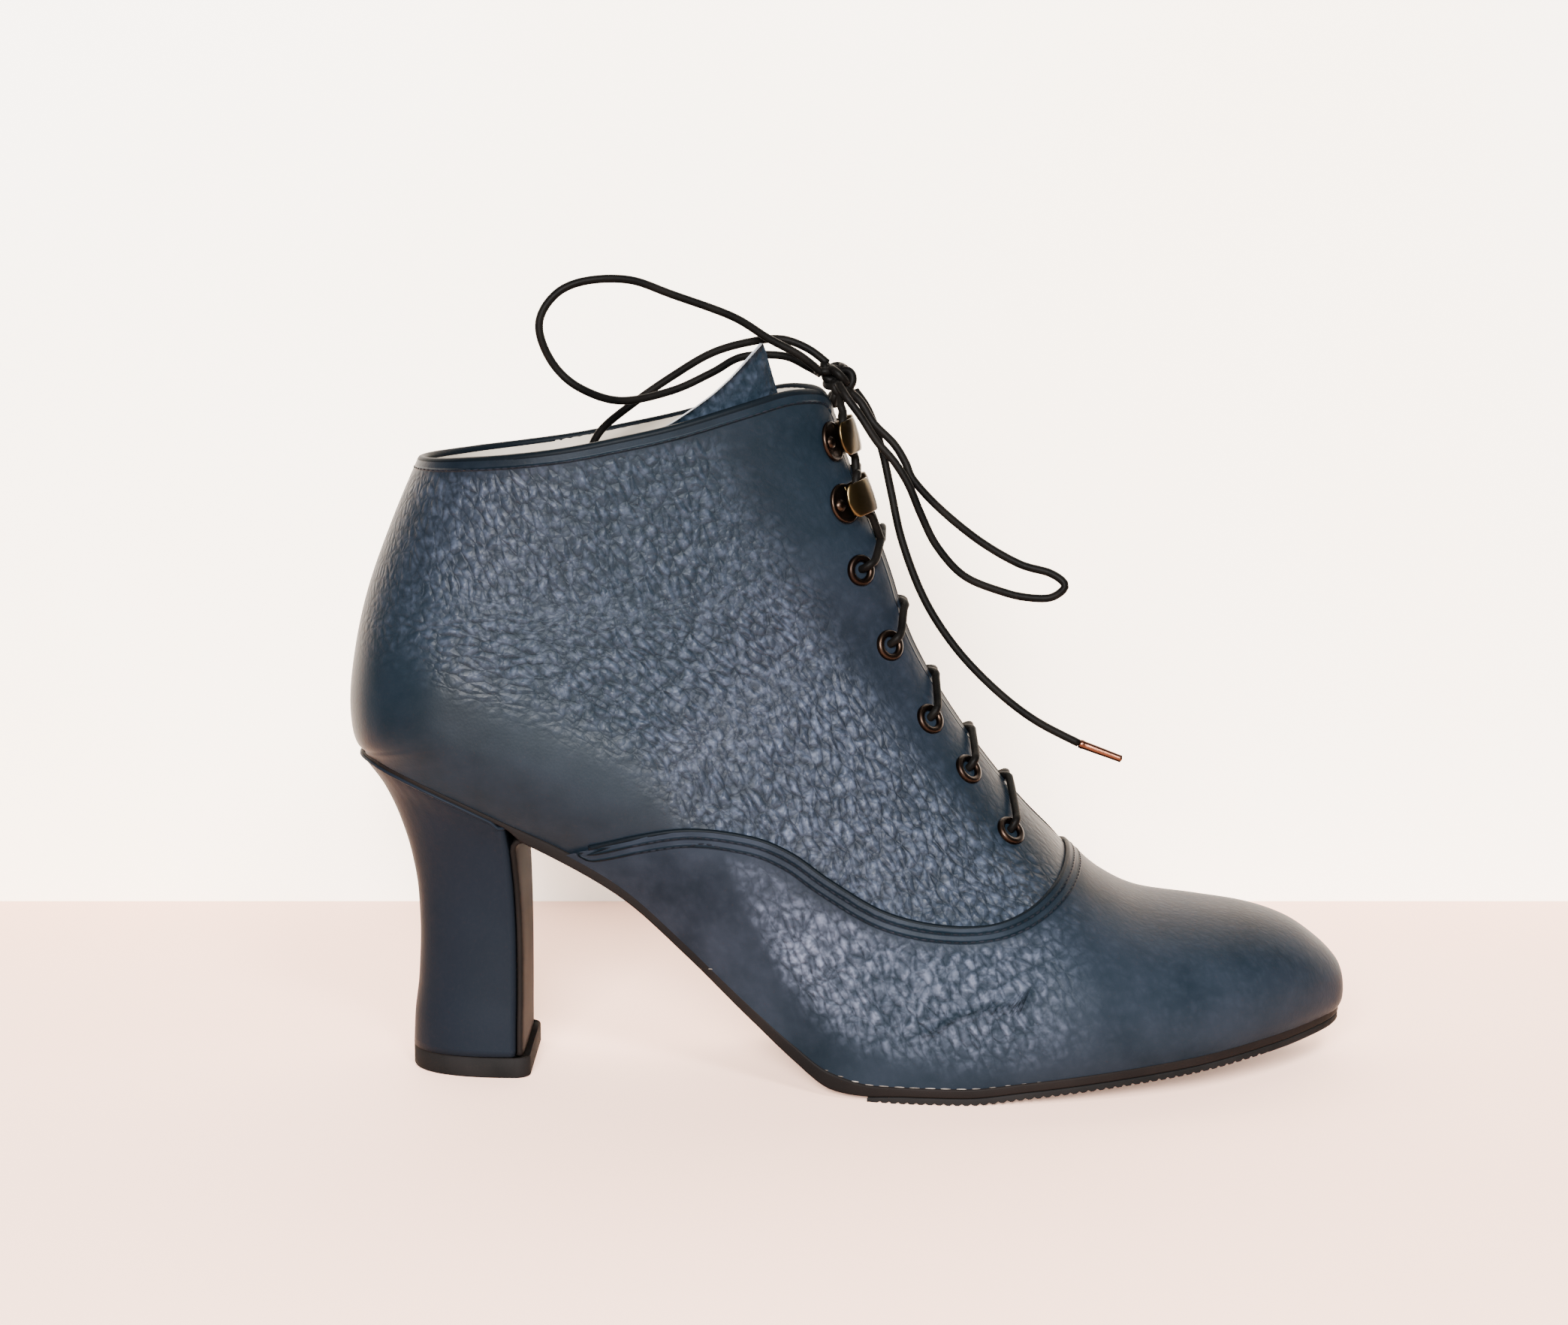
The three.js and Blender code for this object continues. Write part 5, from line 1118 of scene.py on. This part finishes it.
# The cut edge has a line of its own along its middle
crown = [(flat_outer[i] + flat_inner[i]) / 2 for i in rim_index]
points = np.concatenate([flat_outer, flat_inner, crown])
for j, i in enumerate(rim_index):
    k = (j + 1) % count
    n = rim_index[k]
    faces += [(i, start + j, start + k, n), (start + j, size + i, size + n, start + k)]
tongue_uv = np.concatenate([flat_uv, flat_uv, flat_uv[rim_index]])
mesh = mesh_of("tongue_leather", points, faces, tongue_uv, weld=0)
grain_map(mesh, lambda at: np.full(len(at), TONGUE_GRAIN))
add_object("tongue_leather", mesh, tongue_finish, "tongue")
mesh.materials.append(lining)
mesh.materials.append(raw_edge)
mesh.polygons.foreach_set("material_index", face_kinds)
mesh.update()

# Sole

def outline_at(xs, distance=0.0, ledge_share=0.0):
    """The sole's two edges at each x, moved in along the outline's own normal."""
    near, far = station_at(xs, "lateral"), station_at(xs, "medial")
    loop_x = np.concatenate([xs, xs[::-1]])
    loop_y = np.concatenate([near, far[::-1]])
    tx = np.roll(loop_x, -1) - np.roll(loop_x, 1)
    ty = np.roll(loop_y, -1) - np.roll(loop_y, 1)
    move = distance + ledge_share * station_at(loop_x, "ledge")
    scale = move / np.maximum(np.hypot(tx, ty), 1e-9)
    px, py = loop_x - ty * scale, loop_y + tx * scale
    n = len(xs)
    return (px[:n], py[:n]), (px[n:][::-1], py[n:][::-1])


def dense_xs(start, end, count):
    """x values that crowd towards both tips of the sole."""
    share = (1 - np.cos(np.linspace(0, np.pi, count))) / 2
    return start + (end - start) * share


def slab(xs, top, bottom, profile, inset=0.0, ledge_share=0.0, across=9):
    """A plate on the sole's outline. profile gives (inset, share of the height) up its edge."""
    rings = []
    for move, height in profile:
        (nx, ny), (fx, fy) = outline_at(xs, inset + move, ledge_share)
        near = np.stack([nx, ny, mix(bottom(nx), top(nx), height)], -1)
        far = np.stack([fx, fy, mix(bottom(fx), top(fx), height)], -1)
        rings.append((near, far))
    points, faces, uv, start = [], [], [], 0
    n = len(xs)
    for edge, flip in ((0, False), (1, True)):
        block = np.stack([ring[edge] for ring in rings], 1)
        points.append(block.reshape(-1, 3))
        faces += list(grid_faces(n, len(profile), start, flip=flip))
        start += n * len(profile)
    for ring, height, flip in ((rings[0], profile[0][1], False), (rings[-1], profile[-1][1], True)):
        share = np.linspace(0, 1, across)[None, :, None]
        block = ring[0][:, None] * (1 - share) + ring[1][:, None] * share
        x = block[..., 0]
        block[..., 2] = mix(bottom(x), top(x), height)
        points.append(block.reshape(-1, 3))
        faces += list(grid_faces(n, across, start, flip=flip))
        start += n * across
    points = np.concatenate(points)
    return points, faces, points[:, :2]


def edge_profile(radius, height, steps=4):
    """A rounded plate edge: (inset, share of height) from the bottom rim to the top rim."""
    angles = np.linspace(0, np.pi / 2, steps + 1)
    low = [(radius * (1 - math.sin(a)), radius * (1 - math.cos(a)) / height) for a in angles]
    high = [(inset, 1 - share) for inset, share in reversed(low)]
    return low + high


sole_xs = dense_xs(HEEL_TIP, TOE_TIP, cuts(240))
sole_part = slab(sole_xs, sole_top, sole_bottom, edge_profile(0.45, FORE), across=13)
breast_seat = float(sole_bottom(x_at(BREAST_TOP) - FLAP))
heel_bottom = LIFT_THICKNESS + GAP


def breast_front(down):
    return mix(x_at(BREAST_TOP), x_at(BREAST_FOOT), follow(HEEL, 1, down))


def breast_half(down, name):
    seat_half = abs(float(station_at(x_at(BREAST_TOP), name)))
    return mix(seat_half, LIFT_SIDE * FLAP_FOOT, follow(HEEL, 1, down))


CURL_REACH, CURL_DROP = 7.5, 6.5  # how far the flap's curl runs ahead and down
FLAP_FOOT = 0.96  # the flap's half width at its foot, as a share of the lift's


def flap_part(inset=0.7, count=30):
    """The sole's flap: a strip that curls down from the waist and covers the heel's breast."""
    curl_end = x_at(BREAST_TOP) + CURL_REACH
    p0 = np.array([float(breast_front(0.12)), breast_seat - CURL_DROP])
    p1 = np.array([x_at(BREAST_TOP), float(sole_bottom(x_at(BREAST_TOP) + FLAP))])
    p2 = np.array([curl_end, float(sole_bottom(curl_end)) + 0.15])
    t = np.linspace(0, 1, 26)[:, None]
    bend = (1 - t) ** 2 * p0 + 2 * (1 - t) * t * p1 + t**2 * p2
    downs = np.linspace(1, 0.26, 40)
    straight = np.stack([breast_front(downs), mix(breast_seat, heel_bottom, downs)], 1)
    front = even(np.concatenate([straight, bend]), 0.8)
    ahead = unit(np.gradient(front, axis=0))
    back_way = np.stack([-ahead[:, 1], ahead[:, 0]], 1)
    down = np.clip((breast_seat - front[:, 1]) / (breast_seat - heel_bottom), -0.25, 1)
    u = np.linspace(-1, 1, count)
    # The strip's edges are rounded: the face falls back towards its sides
    fall = 0.5 * (np.abs(u) ** 12)
    near, far = -breast_half(down, "lateral") + inset, breast_half(down, "medial") - inset
    y = mix(near[:, None], far[:, None], (u[None, :] + 1) / 2)
    skins = []
    for offset in (fall, np.full(count, FLAP)):
        xz = front[:, None, :] + back_way[:, None, :] * offset[None, :, None]
        skins.append(np.stack([xz[..., 0], y, xz[..., 1]], -1))
    outer, inner = skins
    rows = len(front)
    ring = np.concatenate([outer, inner[:, ::-1]], 1)
    faces = list(grid_faces(rows, 2 * count, closed=True))
    start = 2 * count * (rows - 1)
    faces += [tuple(range(start, start + 2 * count)), tuple(range(2 * count - 1, -1, -1))]
    flat = ring.reshape(-1, 3)
    return flat, faces, flat[:, 1:]


build("leather_sole", join(sole_part, flap_part()), black_leather, "outsole")

JOINT = GAP * 0.4  # the fine line left under the leather sole
half_sole_start, ribs_end, rib_pitch, rib_depth = x_at(0.51), x_at(0.905), 2.1, 0.5
GROOVE_SHARE = 0.42  # of the pitch


def half_sole_under(x):
    phase = (x - half_sole_start) / rib_pitch
    groove = np.clip(1 - np.abs((phase % 1) - 0.5) * 2 / GROOVE_SHARE, 0, 1)
    ribbed = (smooth(half_sole_start + 1, half_sole_start + 3, x)
              * (1 - smooth(ribs_end - 1, ribs_end + 1, x)))
    return sole_top(x) - SOLE_EDGE + rib_depth * np.sqrt(groove) * ribbed


def half_sole_top(x):
    return sole_bottom(x) - JOINT


rib_xs = np.arange(half_sole_start, ribs_end, rib_pitch / (6))
tail_xs = ribs_end + (TOE_TIP - 0.2 - ribs_end) * np.sin(np.linspace(0, np.pi / 2, 60))
part = slab(np.concatenate([rib_xs, tail_xs]), half_sole_top, half_sole_under,
            edge_profile(0.3, HALF_SOLE, 3), inset=0.15, across=5)
build("rubber_half_sole", part, rubber, "half_sole", weld=0)

# The sock lining board: thickness, and how far it ends from the sole's heel and toe
SOCK, SOCK_BACK, SOCK_AHEAD = 2.5, 3.2, 3.6
part = slab(dense_xs(HEEL_TIP + SOCK_BACK, TOE_TIP - SOCK_AHEAD, 120),
            lambda x: sole_top(x) + GAP + SOCK, lambda x: sole_top(x) + GAP * 0.5,
            edge_profile(0.8, SOCK, 3), inset=WALL + 1.6, ledge_share=1.0, across=11)
build("sock", part, lining, "insole")

# Heel

def heel_outline(down, reach=0.0, corner=HEEL_CORNER, flank_count=40, corner_count=7):
    """The heel's outline at a share of the way down: x, the seat's x it hangs from, and y."""
    move = float(follow(HEEL, 1, down))
    front = float(breast_front(down)) - FLAP - GAP + reach
    back = mix(HEEL_TIP, x_at(LIFT_BACK), move)
    seat_front = x_at(BREAST_TOP) - FLAP - GAP
    angles = np.linspace(0, np.pi / 2, flank_count + 1)[1:]
    rows = []
    for name, sign in (("lateral", -1), ("medial", 1)):
        front_half = mix(abs(float(station_at(seat_front, name))), LIFT_SIDE, move)
        turn = np.linspace(0, np.pi / 2, corner_count)
        corner_x = front - corner * (1 - np.cos(turn))
        corner_y = sign * (front_half - corner * (1 - np.sin(turn)))
        share = np.sin(angles) ** (2 / HEEL_ROUNDNESS)
        seat_x = mix(seat_front, HEEL_TIP, share)
        seat_y = np.abs(station_at(seat_x, name))
        lift_y = LIFT_SIDE * np.cos(angles) ** (2 / HEEL_ROUNDNESS)
        x = np.concatenate([corner_x, np.minimum(mix(front, back, share), front - corner - 0.01)])
        y = np.concatenate([corner_y, sign * mix(seat_y, lift_y, move)])
        rows.append((x, np.concatenate([np.full(corner_count, seat_front), seat_x]), y))
    near, far = rows
    return tuple(np.concatenate([n, f[:-1][::-1]]) for n, f in zip(near, far))


def stacked(rings, flip=False):
    """Points and faces of a stack of closed rings, with a fan over either end."""
    levels, count = rings.shape[:2]
    faces = list(grid_faces(levels, count, flip=flip, closed=True))
    size, last = levels * count, (levels - 1) * count
    for k in range(count):
        n = (k + 1) % count
        faces += [(n, k, size), (last + k, last + n, size + 1)]
    return np.concatenate([rings.reshape(-1, 3), rings[[0, -1]].mean(1)]), faces


downs = np.concatenate([np.linspace(0, 0.3, 22), np.linspace(0.3, 1, 30)[1:]])
rings = []
for down in downs:
    x, seat_x, y = heel_outline(down)
    seat_z = sole_bottom(seat_x) - JOINT
    rings.append(np.stack([x, y, mix(seat_z, heel_bottom, down)], 1))
rings = np.array(rings)
around = run_length(rings[10])
heel_uv = np.stack(np.broadcast_arrays(around[None, :], downs[:, None] * 60), -1).reshape(-1, 2)
heel_uv = np.concatenate([heel_uv, [[0, 0], [0, 60]]])
build("heel_cover", (*stacked(rings), heel_uv), smooth_leather, "heel")

# A fine leather edge that runs along the heel's seat
SEAT_EDGE = 0.42
build("seat_edge", tube(even(rings[0], 0.8, closed=True), SEAT_EDGE, 8, closed=True),
      smooth_leather, "heel")

# The lift's rings: height and how far each stands in
LIFT_RINGS = [(0, 0.5), (0.15, 0.2), (0.5, 0.0), (LIFT_THICKNESS - 0.35, 0.0),
              (LIFT_THICKNESS, 0.3)]
x, _, y = heel_outline(1.0, FLAP + GAP + LIFT_REACH, LIFT_CORNER)
plan = np.stack([x, y], 1)
away = unit(plan - (x.mean(), 0))
rings = np.array([np.column_stack([plan - away * inset, np.full(len(x), z)])
                  for z, inset in LIFT_RINGS])
points, faces = stacked(rings, flip=True)
build("heel_lift", (points, faces, points[:, :2]), rubber, "top_lift")

# Eyelets and hooks

def seat_at(row, across, side):
    point, normal, up, _ = last_frame(np.float64(row), np.float64(side * across))
    toward = unit(np.cross(up, normal) * -side)
    return point, normal, up, toward


def placed(points, row, across, side):
    """Points drawn with x towards the throat and z outward, set on the last."""
    point, normal, _, toward = seat_at(row, across, side)
    beside = np.cross(normal, toward)
    return point + points[:, :1] * toward + points[:, 1:2] * beside + points[:, 2:] * normal


def spun(profile, facets):
    """A profile of (radius, height) spun round z."""
    profile = np.asarray(profile, float)
    angle = np.arange(facets + 1) * 2 * np.pi / facets
    points = np.stack([profile[:, None, 0] * np.cos(angle), profile[:, None, 0] * np.sin(angle),
                       np.broadcast_to(profile[:, None, 1], (len(profile), facets + 1))], -1)
    uv = np.stack(np.broadcast_arrays(angle[None, :] * 2,
                                      np.arange(len(profile))[:, None] * 0.5), -1)
    return points.reshape(-1, 3), grid_faces(len(profile), facets + 1), uv.reshape(-1, 2)


def on_seats(places, *drawn):
    """Drawn parts, each set on every place of both sides, as one part."""
    return join(*[(placed(points, row, across, side), faces, uv) for side in SIDES.values()
                  for row, across in places for points, faces, uv in drawn])


def numbered(kind, places):
    return [f"{kind}_{name}_{i + 1}" for name in SIDES for i in range(len(places))]


def lip(inner, outer, foot, top, steps=7):
    """An eyelet's section: up the barrel, over a rounded flange and down to the leather."""
    turn = np.linspace(np.pi, 0, 2 * steps)
    middle, reach = (inner + outer) / 2, (outer - inner) / 2
    arch = [(middle + reach * math.cos(a), foot + (top - foot) * math.sin(a) ** 0.8) for a in turn]
    return [(inner + 0.35, -WALL), (inner, -WALL + 0.2), (inner, foot - 0.1), *arch[1:-1],
            (outer, foot - 0.25)]


EYELET_TOP = GAP + 0.8
eyelet = spun(lip(EYELET_HOLE, EYELET_RADIUS, GAP * 0.6, EYELET_TOP), 40)
build("eyelets", on_seats(EYELETS, eyelet), bronze, numbered("eyelet", EYELETS))

# A hook's disc and tab: thickness, how much wider the tab is than in the solid, how far its
# free end is rounded, and how far the disc and the rivet stand to the back
DISC, TAB, TAB_SPREAD, TAB_ROUND = 0.6, 0.55, 1.15, 2.2
DISC_BACK, RIVET_BACK = 1.9, 3.9
HOOK_LINE = np.array([(-0.5, 0.3), (3.9, 0.3), (4.8, 0.9), (5.1, 2.1), (4.8, 3.1), (3.8, 3.8),
                      (1.6, 4.2), (-1.6, 4.0), (-4.2, 3.2)])
hook_centre = catmull(np.column_stack([HOOK_LINE, np.zeros(len(HOOK_LINE))]), 6)[:, :2]
hook_centre = even(hook_centre, 0.3)


def hook_part():
    """A hook's bent tab: rounded at its free end, a little crowned, with soft edges."""
    ahead = unit(np.gradient(hook_centre, axis=0))
    away = np.stack([ahead[:, 1], -ahead[:, 0]], 1)
    length = run_length(hook_centre)
    left = np.clip((length[-1] - length) / TAB_ROUND, 0, 1)
    half = HOOK_LENGTH / 2 * TAB_SPREAD * np.sqrt(np.clip(1 - (1 - left) ** 2, 0.02, 1))
    angle = np.linspace(0, 2 * np.pi, 29)[:-1]
    cx = np.sign(np.cos(angle)) * np.abs(np.cos(angle)) ** 0.35
    cz = np.sign(np.sin(angle)) * np.abs(np.sin(angle)) ** 0.8
    crown = 0.25 * (1 - cx**2)
    y = half[:, None] * cx[None, :]
    depth = (TAB / 2) * cz[None, :] + crown[None, :] * smooth(3, 7, length)[:, None]
    xz = hook_centre[:, None, :] + away[:, None, :] * depth[..., None]
    points = np.stack([xz[..., 0], y, xz[..., 1] + GAP], -1)
    rows, count = points.shape[:2]
    faces = list(grid_faces(rows, count, closed=True))
    start = (rows - 1) * count
    faces += [tuple(range(start, start + count)), tuple(range(count - 1, -1, -1))]
    uv = np.stack(np.broadcast_arrays(length[:, None], y), -1).reshape(-1, 2)
    return points.reshape(-1, 3), faces, uv


FACE = GAP + DISC
disc = spun([(0.01, FACE + 0.05), (2.6, FACE + 0.05), (3.3, FACE - 0.1), (3.7, FACE - 0.12),
             (4.3, FACE), (4.62, FACE - 0.15), (4.7, GAP * 0.5), (4.6, 0)], 44)
disc = (disc[0] * (0.98, 1.02, 1) - (DISC_BACK, 0, 0), *disc[1:])
rivet = spun([(0.01, FACE + 0.75), (0.7, FACE + 0.7), (1.25, FACE + 0.45), (1.5, FACE)], 24)
rivet = (rivet[0] - (RIVET_BACK, 0, 0), *rivet[1:])
hooks = numbered("hook", HOOKS)
build("hook_tabs", on_seats(HOOKS, hook_part()), gilt, hooks)
build("hook_plates", on_seats(HOOKS, disc, rivet), bronze, hooks)

# Laces

def beside_crest(row, distance, lift):
    side = -1 if distance < 0 else 1
    across = float(across_of(np.float64(row), abs(distance), side))
    point, normal, _, _ = last_frame(np.float64(row), np.float64(across))
    return point + normal * lift


def beside_seat(seat, toward, along, lift):
    row, across, side = seat
    point, normal, up, inward = seat_at(row, across, side)
    return point + inward * toward + up * along + normal * lift


HALF_GAP = LACING_GAP / 2
OVER_LIFT, UNDER_LIFT = LACE_RADIUS + 0.15, -WALL - LACE_RADIUS - 2 * GAP
RIM_LIFT = EYELET_TOP + LACE_RADIUS + 0.05


def out_of(seat):
    return [beside_seat(seat, *place) for place in (
        (-0.4, -0.2, UNDER_LIFT), (0.2, 0.1, -1.0), (0.6, 0.3, 0.7), (1.9, 0.9, RIM_LIFT - 0.1),
        (4.0, 1.7, RIM_LIFT - 0.5))]


def over_edge(start, end, side):
    return [beside_crest(mix(start, end, 0.36), side * (HALF_GAP + 1.6), OVER_LIFT),
            beside_crest(mix(start, end, 0.43), side * (HALF_GAP - 0.4), OVER_LIFT - 0.1)]


def cross_under(seat, following):
    row, _, side = seat
    at = lambda share: mix(row, following[0], share)
    return [*over_edge(row, following[0], side),
            beside_crest(at(0.5), side * 0.01, side * 0.35 - 0.9),
            beside_crest(at(0.55), -side * 1.7, UNDER_LIFT + 0.55),
            beside_crest(at(0.6), -side * (HALF_GAP + 0.8), UNDER_LIFT),
            beside_seat(following, 2.6, -1, UNDER_LIFT)]


def cross_over(start, end, side):
    return [*over_edge(start, end, side),
            beside_crest(mix(start, end, 0.5), side * 0.01, side * 0.45 + OVER_LIFT - 0.4),
            *over_edge(start, end, -side)[::-1]]


HOOK_LIFT = FACE + LACE_RADIUS + 0.1


def around_hook(seat):
    half = HOOK_LENGTH / 2
    return [beside_seat(seat, toward, along, HOOK_LIFT) for toward, along in (
        (3.9, -half - 2), (2.3, -half), (2.0, 0), (2.3, half), (3.9, half + 2))]


KNOT_ROW = 23.6  # the section row at which the strands rise to the knot


def lace_route(side):
    """Half of the lace, from the bar under the lowest eyelets to the knot."""
    seat = (*EYELETS[0], side)
    points = [beside_crest(seat[0], -side * 0.8, UNDER_LIFT),
              beside_crest(seat[0], side * (HALF_GAP + 1), UNDER_LIFT),
              beside_crest(seat[0], side * (HALF_GAP + 4.5), UNDER_LIFT), *out_of(seat)]
    for row, across in EYELETS[1:]:
        following = (row, across, -side)
        points += cross_under(seat, following) + out_of(following)
        seat, side = following, -side
    for row, across in HOOKS:
        following = (row, across, -side)
        points += cross_over(seat[0], row, side) + around_hook(following)
        seat, side = following, -side
    start = beside_crest(KNOT_ROW, side * (HALF_GAP + 0.6), OVER_LIFT + 0.6)
    return np.array(points + [start, mix(start, KNOT_CENTRE, 0.75)])


LACE_SHOWN = 0.97 * LACE_RADIUS


def strand(route):
    return tube(even(catmull(route, 5), 0.7), LACE_SHOWN, 12, hint=(1, 0, 0.15))


build("laced_strands", join(*[strand(lace_route(side)) for side in (-1, 1)]), lace_wax,
      "lace_crossings")

# The knot: turns of lace, each looped through itself, drawn tight over one another.
# Of each turn: size, tilt, swing, how far it hangs down, how far it stands ahead
KNOT_REACH, KNOT_SWELL = 1.95, 1.15
KNOT_TURNS = [
    (1.34, 0.4, 0.3, 0.0, 0.3), (1.12, 1.75, 0.9, -0.6, 0.3), (0.9, -0.7, 0.2, 3.2, 0.3),
    (0.75, 0.9, 0.5, 0.6, 0.3), (0.85, 1.2, 0.4, -2.0, -2.4),
]


def knot_turn(size, tilt, swing, drop, ahead):
    turn = np.linspace(0, 2 * np.pi, 110, endpoint=False)
    reach = KNOT_REACH + KNOT_SWELL * np.cos(3 * turn)
    ring = np.stack([KNOT_SWELL * np.sin(3 * turn), reach * np.cos(2 * turn),
                     reach * np.sin(2 * turn)], 1)
    for angle, (i, j) in ((tilt, (0, 2)), (swing, (1, 2))):
        c, s = math.cos(angle), math.sin(angle)
        ring[:, i], ring[:, j] = c * ring[:, i] - s * ring[:, j], s * ring[:, i] + c * ring[:, j]
    centre = KNOT_CENTRE + np.array([ahead, 0, -drop])
    return tube(centre + ring * size, LACE_RADIUS, 12, closed=True)


build("knot", join(*[knot_turn(*row) for row in KNOT_TURNS]), lace_wax, "lace_knot")

# The copper tip, and the four cords of the bow
tip_start = np.array(ROUTES["lace_end_front"][-1])
tip_start = tip_start + unit(AGLET_END - tip_start) * 0.2
share = np.linspace(0, 1, 30)
tip_line = tip_start + (AGLET_END - tip_start) * share[:, None]
tip_radius = 1.0 + 0.12 * np.exp(-((share - 0.06) / 0.04) ** 2) - 0.12 * smooth(0.2, 1.0, share)
tip = build("lace_tip", tube(tip_line, tip_radius, 18), copper, "aglet")
ends = {"lace_loop_back": "object", "lace_loop_front": "object", "lace_end_back": "bare",
        "lace_end_front": "fitting"}
for name, far_end in ends.items():
    route = np.array(ROUTES[name], float)
    line = even(catmull(route, 8), 0.9)
    mesh = mesh_of(name, *tube(line, LACE_SHOWN, 12))
    cord = add_object(name.replace("lace", "bow"), mesh, lace_wax, name)
    marks = row_at(route, np.linspace(0, len(route) - 1, 36))
    real = float(run_length(catmull(route, 16))[-1]) / 1000

# Sole stitches

SOLE_STITCH, SOLE_STITCH_STEP = (2.7, 0.5, 0.4), 3.6


def sole_stitches(side):
    xs = np.linspace(x_at(0.36), x_at(0.985), 500)
    near, far = outline_at(xs, 0.55)
    px, py = near if side < 0 else far
    path = even(np.stack([px, py, sole_top(px)], 1), SOLE_STITCH_STEP)
    return path, np.broadcast_to((0.0, 0.0, 1.0), path.shape).copy()


sew("sole_stitches", [sole_stitches(-1), sole_stitches(1)], SOLE_STITCH, pale_thread, "outsole")

# Camera, floor and light

# Where the photo was taken from, in the last's millimetres; its lens and width in pixels
CAMERA_PLACE, CAMERA_TILT = (-16.7, -729.0, 202.0), 0.1419
PHOTO_LENS, PHOTO_WIDTH, SENSOR = 4075, 2088, 36
camera = bpy.data.objects.new("camera", bpy.data.cameras.new("camera"))
bpy.context.scene.collection.objects.link(camera)
camera.location = to_frame(CAMERA_PLACE)
camera.rotation_euler = (math.pi / 2 - CAMERA_TILT, 0, 0)
camera.data.sensor_width = SENSOR
camera.data.lens = PHOTO_LENS / PHOTO_WIDTH * SENSOR
camera.data.clip_start, camera.data.clip_end = 0.05, 30
bpy.context.scene.camera = camera


def stage_plane(name, corners, material):
    mesh = bpy.data.meshes.new(name)
    mesh.from_pydata(corners, [], [(0, 1, 2, 3)])
    mesh.materials.append(material)
    piece = bpy.data.objects.new(name, mesh)
    bpy.context.scene.collection.objects.link(piece)


def stage_finish(name, colour, other, glow):
    """A matt, overlit stage surface with a little light of its own, open to views from its back."""
    sheet = Sheet(name)
    patches = sheet.noise(sheet.place(), 3, 3.0).over(0.3, 0.7)
    tint = sheet.blend(patches, colour, other)
    behind = sheet.node("ShaderNodeNewGeometry", out=6)
    sheet.set(Base_Color=tint, Roughness=0.7, Emission_Color=tint, Emission_Strength=glow,
              Alpha=1 - behind)
    return sheet.material


floor_finish = stage_finish("floor", rgb(248, 206, 184), rgb(244, 200, 176), 0.5)
wall_finish = stage_finish("wall", rgb(255, 250, 240), rgb(255, 243, 224), 0.8)
# The stage, in metres: its left and right ends, its front, its back and the wall's height
LEFT, RIGHT, NEAR, BACK, TALL = -0.45, 0.42, -0.5, 0.178, 0.5
stage_plane("floor", [(LEFT, NEAR, 0), (RIGHT, NEAR, 0), (RIGHT, BACK, 0), (LEFT, BACK, 0)],
            floor_finish)
stage_plane("wall", [(LEFT, BACK, 0), (RIGHT, BACK, 0), (RIGHT, BACK, TALL), (LEFT, BACK, TALL)],
            wall_finish)


def soft_light(name, place, target, power, size, colour):
    data = bpy.data.lights.new(name, "AREA")
    data.energy, data.shape, data.size, data.size_y, data.color = power, "RECTANGLE", *size, colour
    lamp = bpy.data.objects.new(name, data)
    lamp.location = place
    lamp.rotation_euler = (Vector(target) - Vector(place)).to_track_quat("-Z", "Y").to_euler()
    bpy.context.scene.collection.objects.link(lamp)


WHITE, WARM_WHITE = (1.0, 0.98, 0.97), (1.0, 0.98, 0.95)
soft_light("key", (-0.15, -1.2, 0.52), (-0.01, 0, 0.07), 94, (0.4, 0.3), WHITE)
soft_light("vamp_light", (0.22, -0.85, 0.75), (0.02, 0, 0.04), 18, (0.2, 0.2), WHITE)
soft_light("ceiling", (0.1, -0.2, 1.7), (0, 0.0, 0.0), 4, (1.0, 0.6), WARM_WHITE)
world = bpy.data.worlds.new("room")
world.use_nodes = True
background = world.node_tree.nodes["Background"]
background.inputs[0].default_value, background.inputs[1].default_value = (*WARM_WHITE, 1), 0.1
bpy.context.scene.world = world
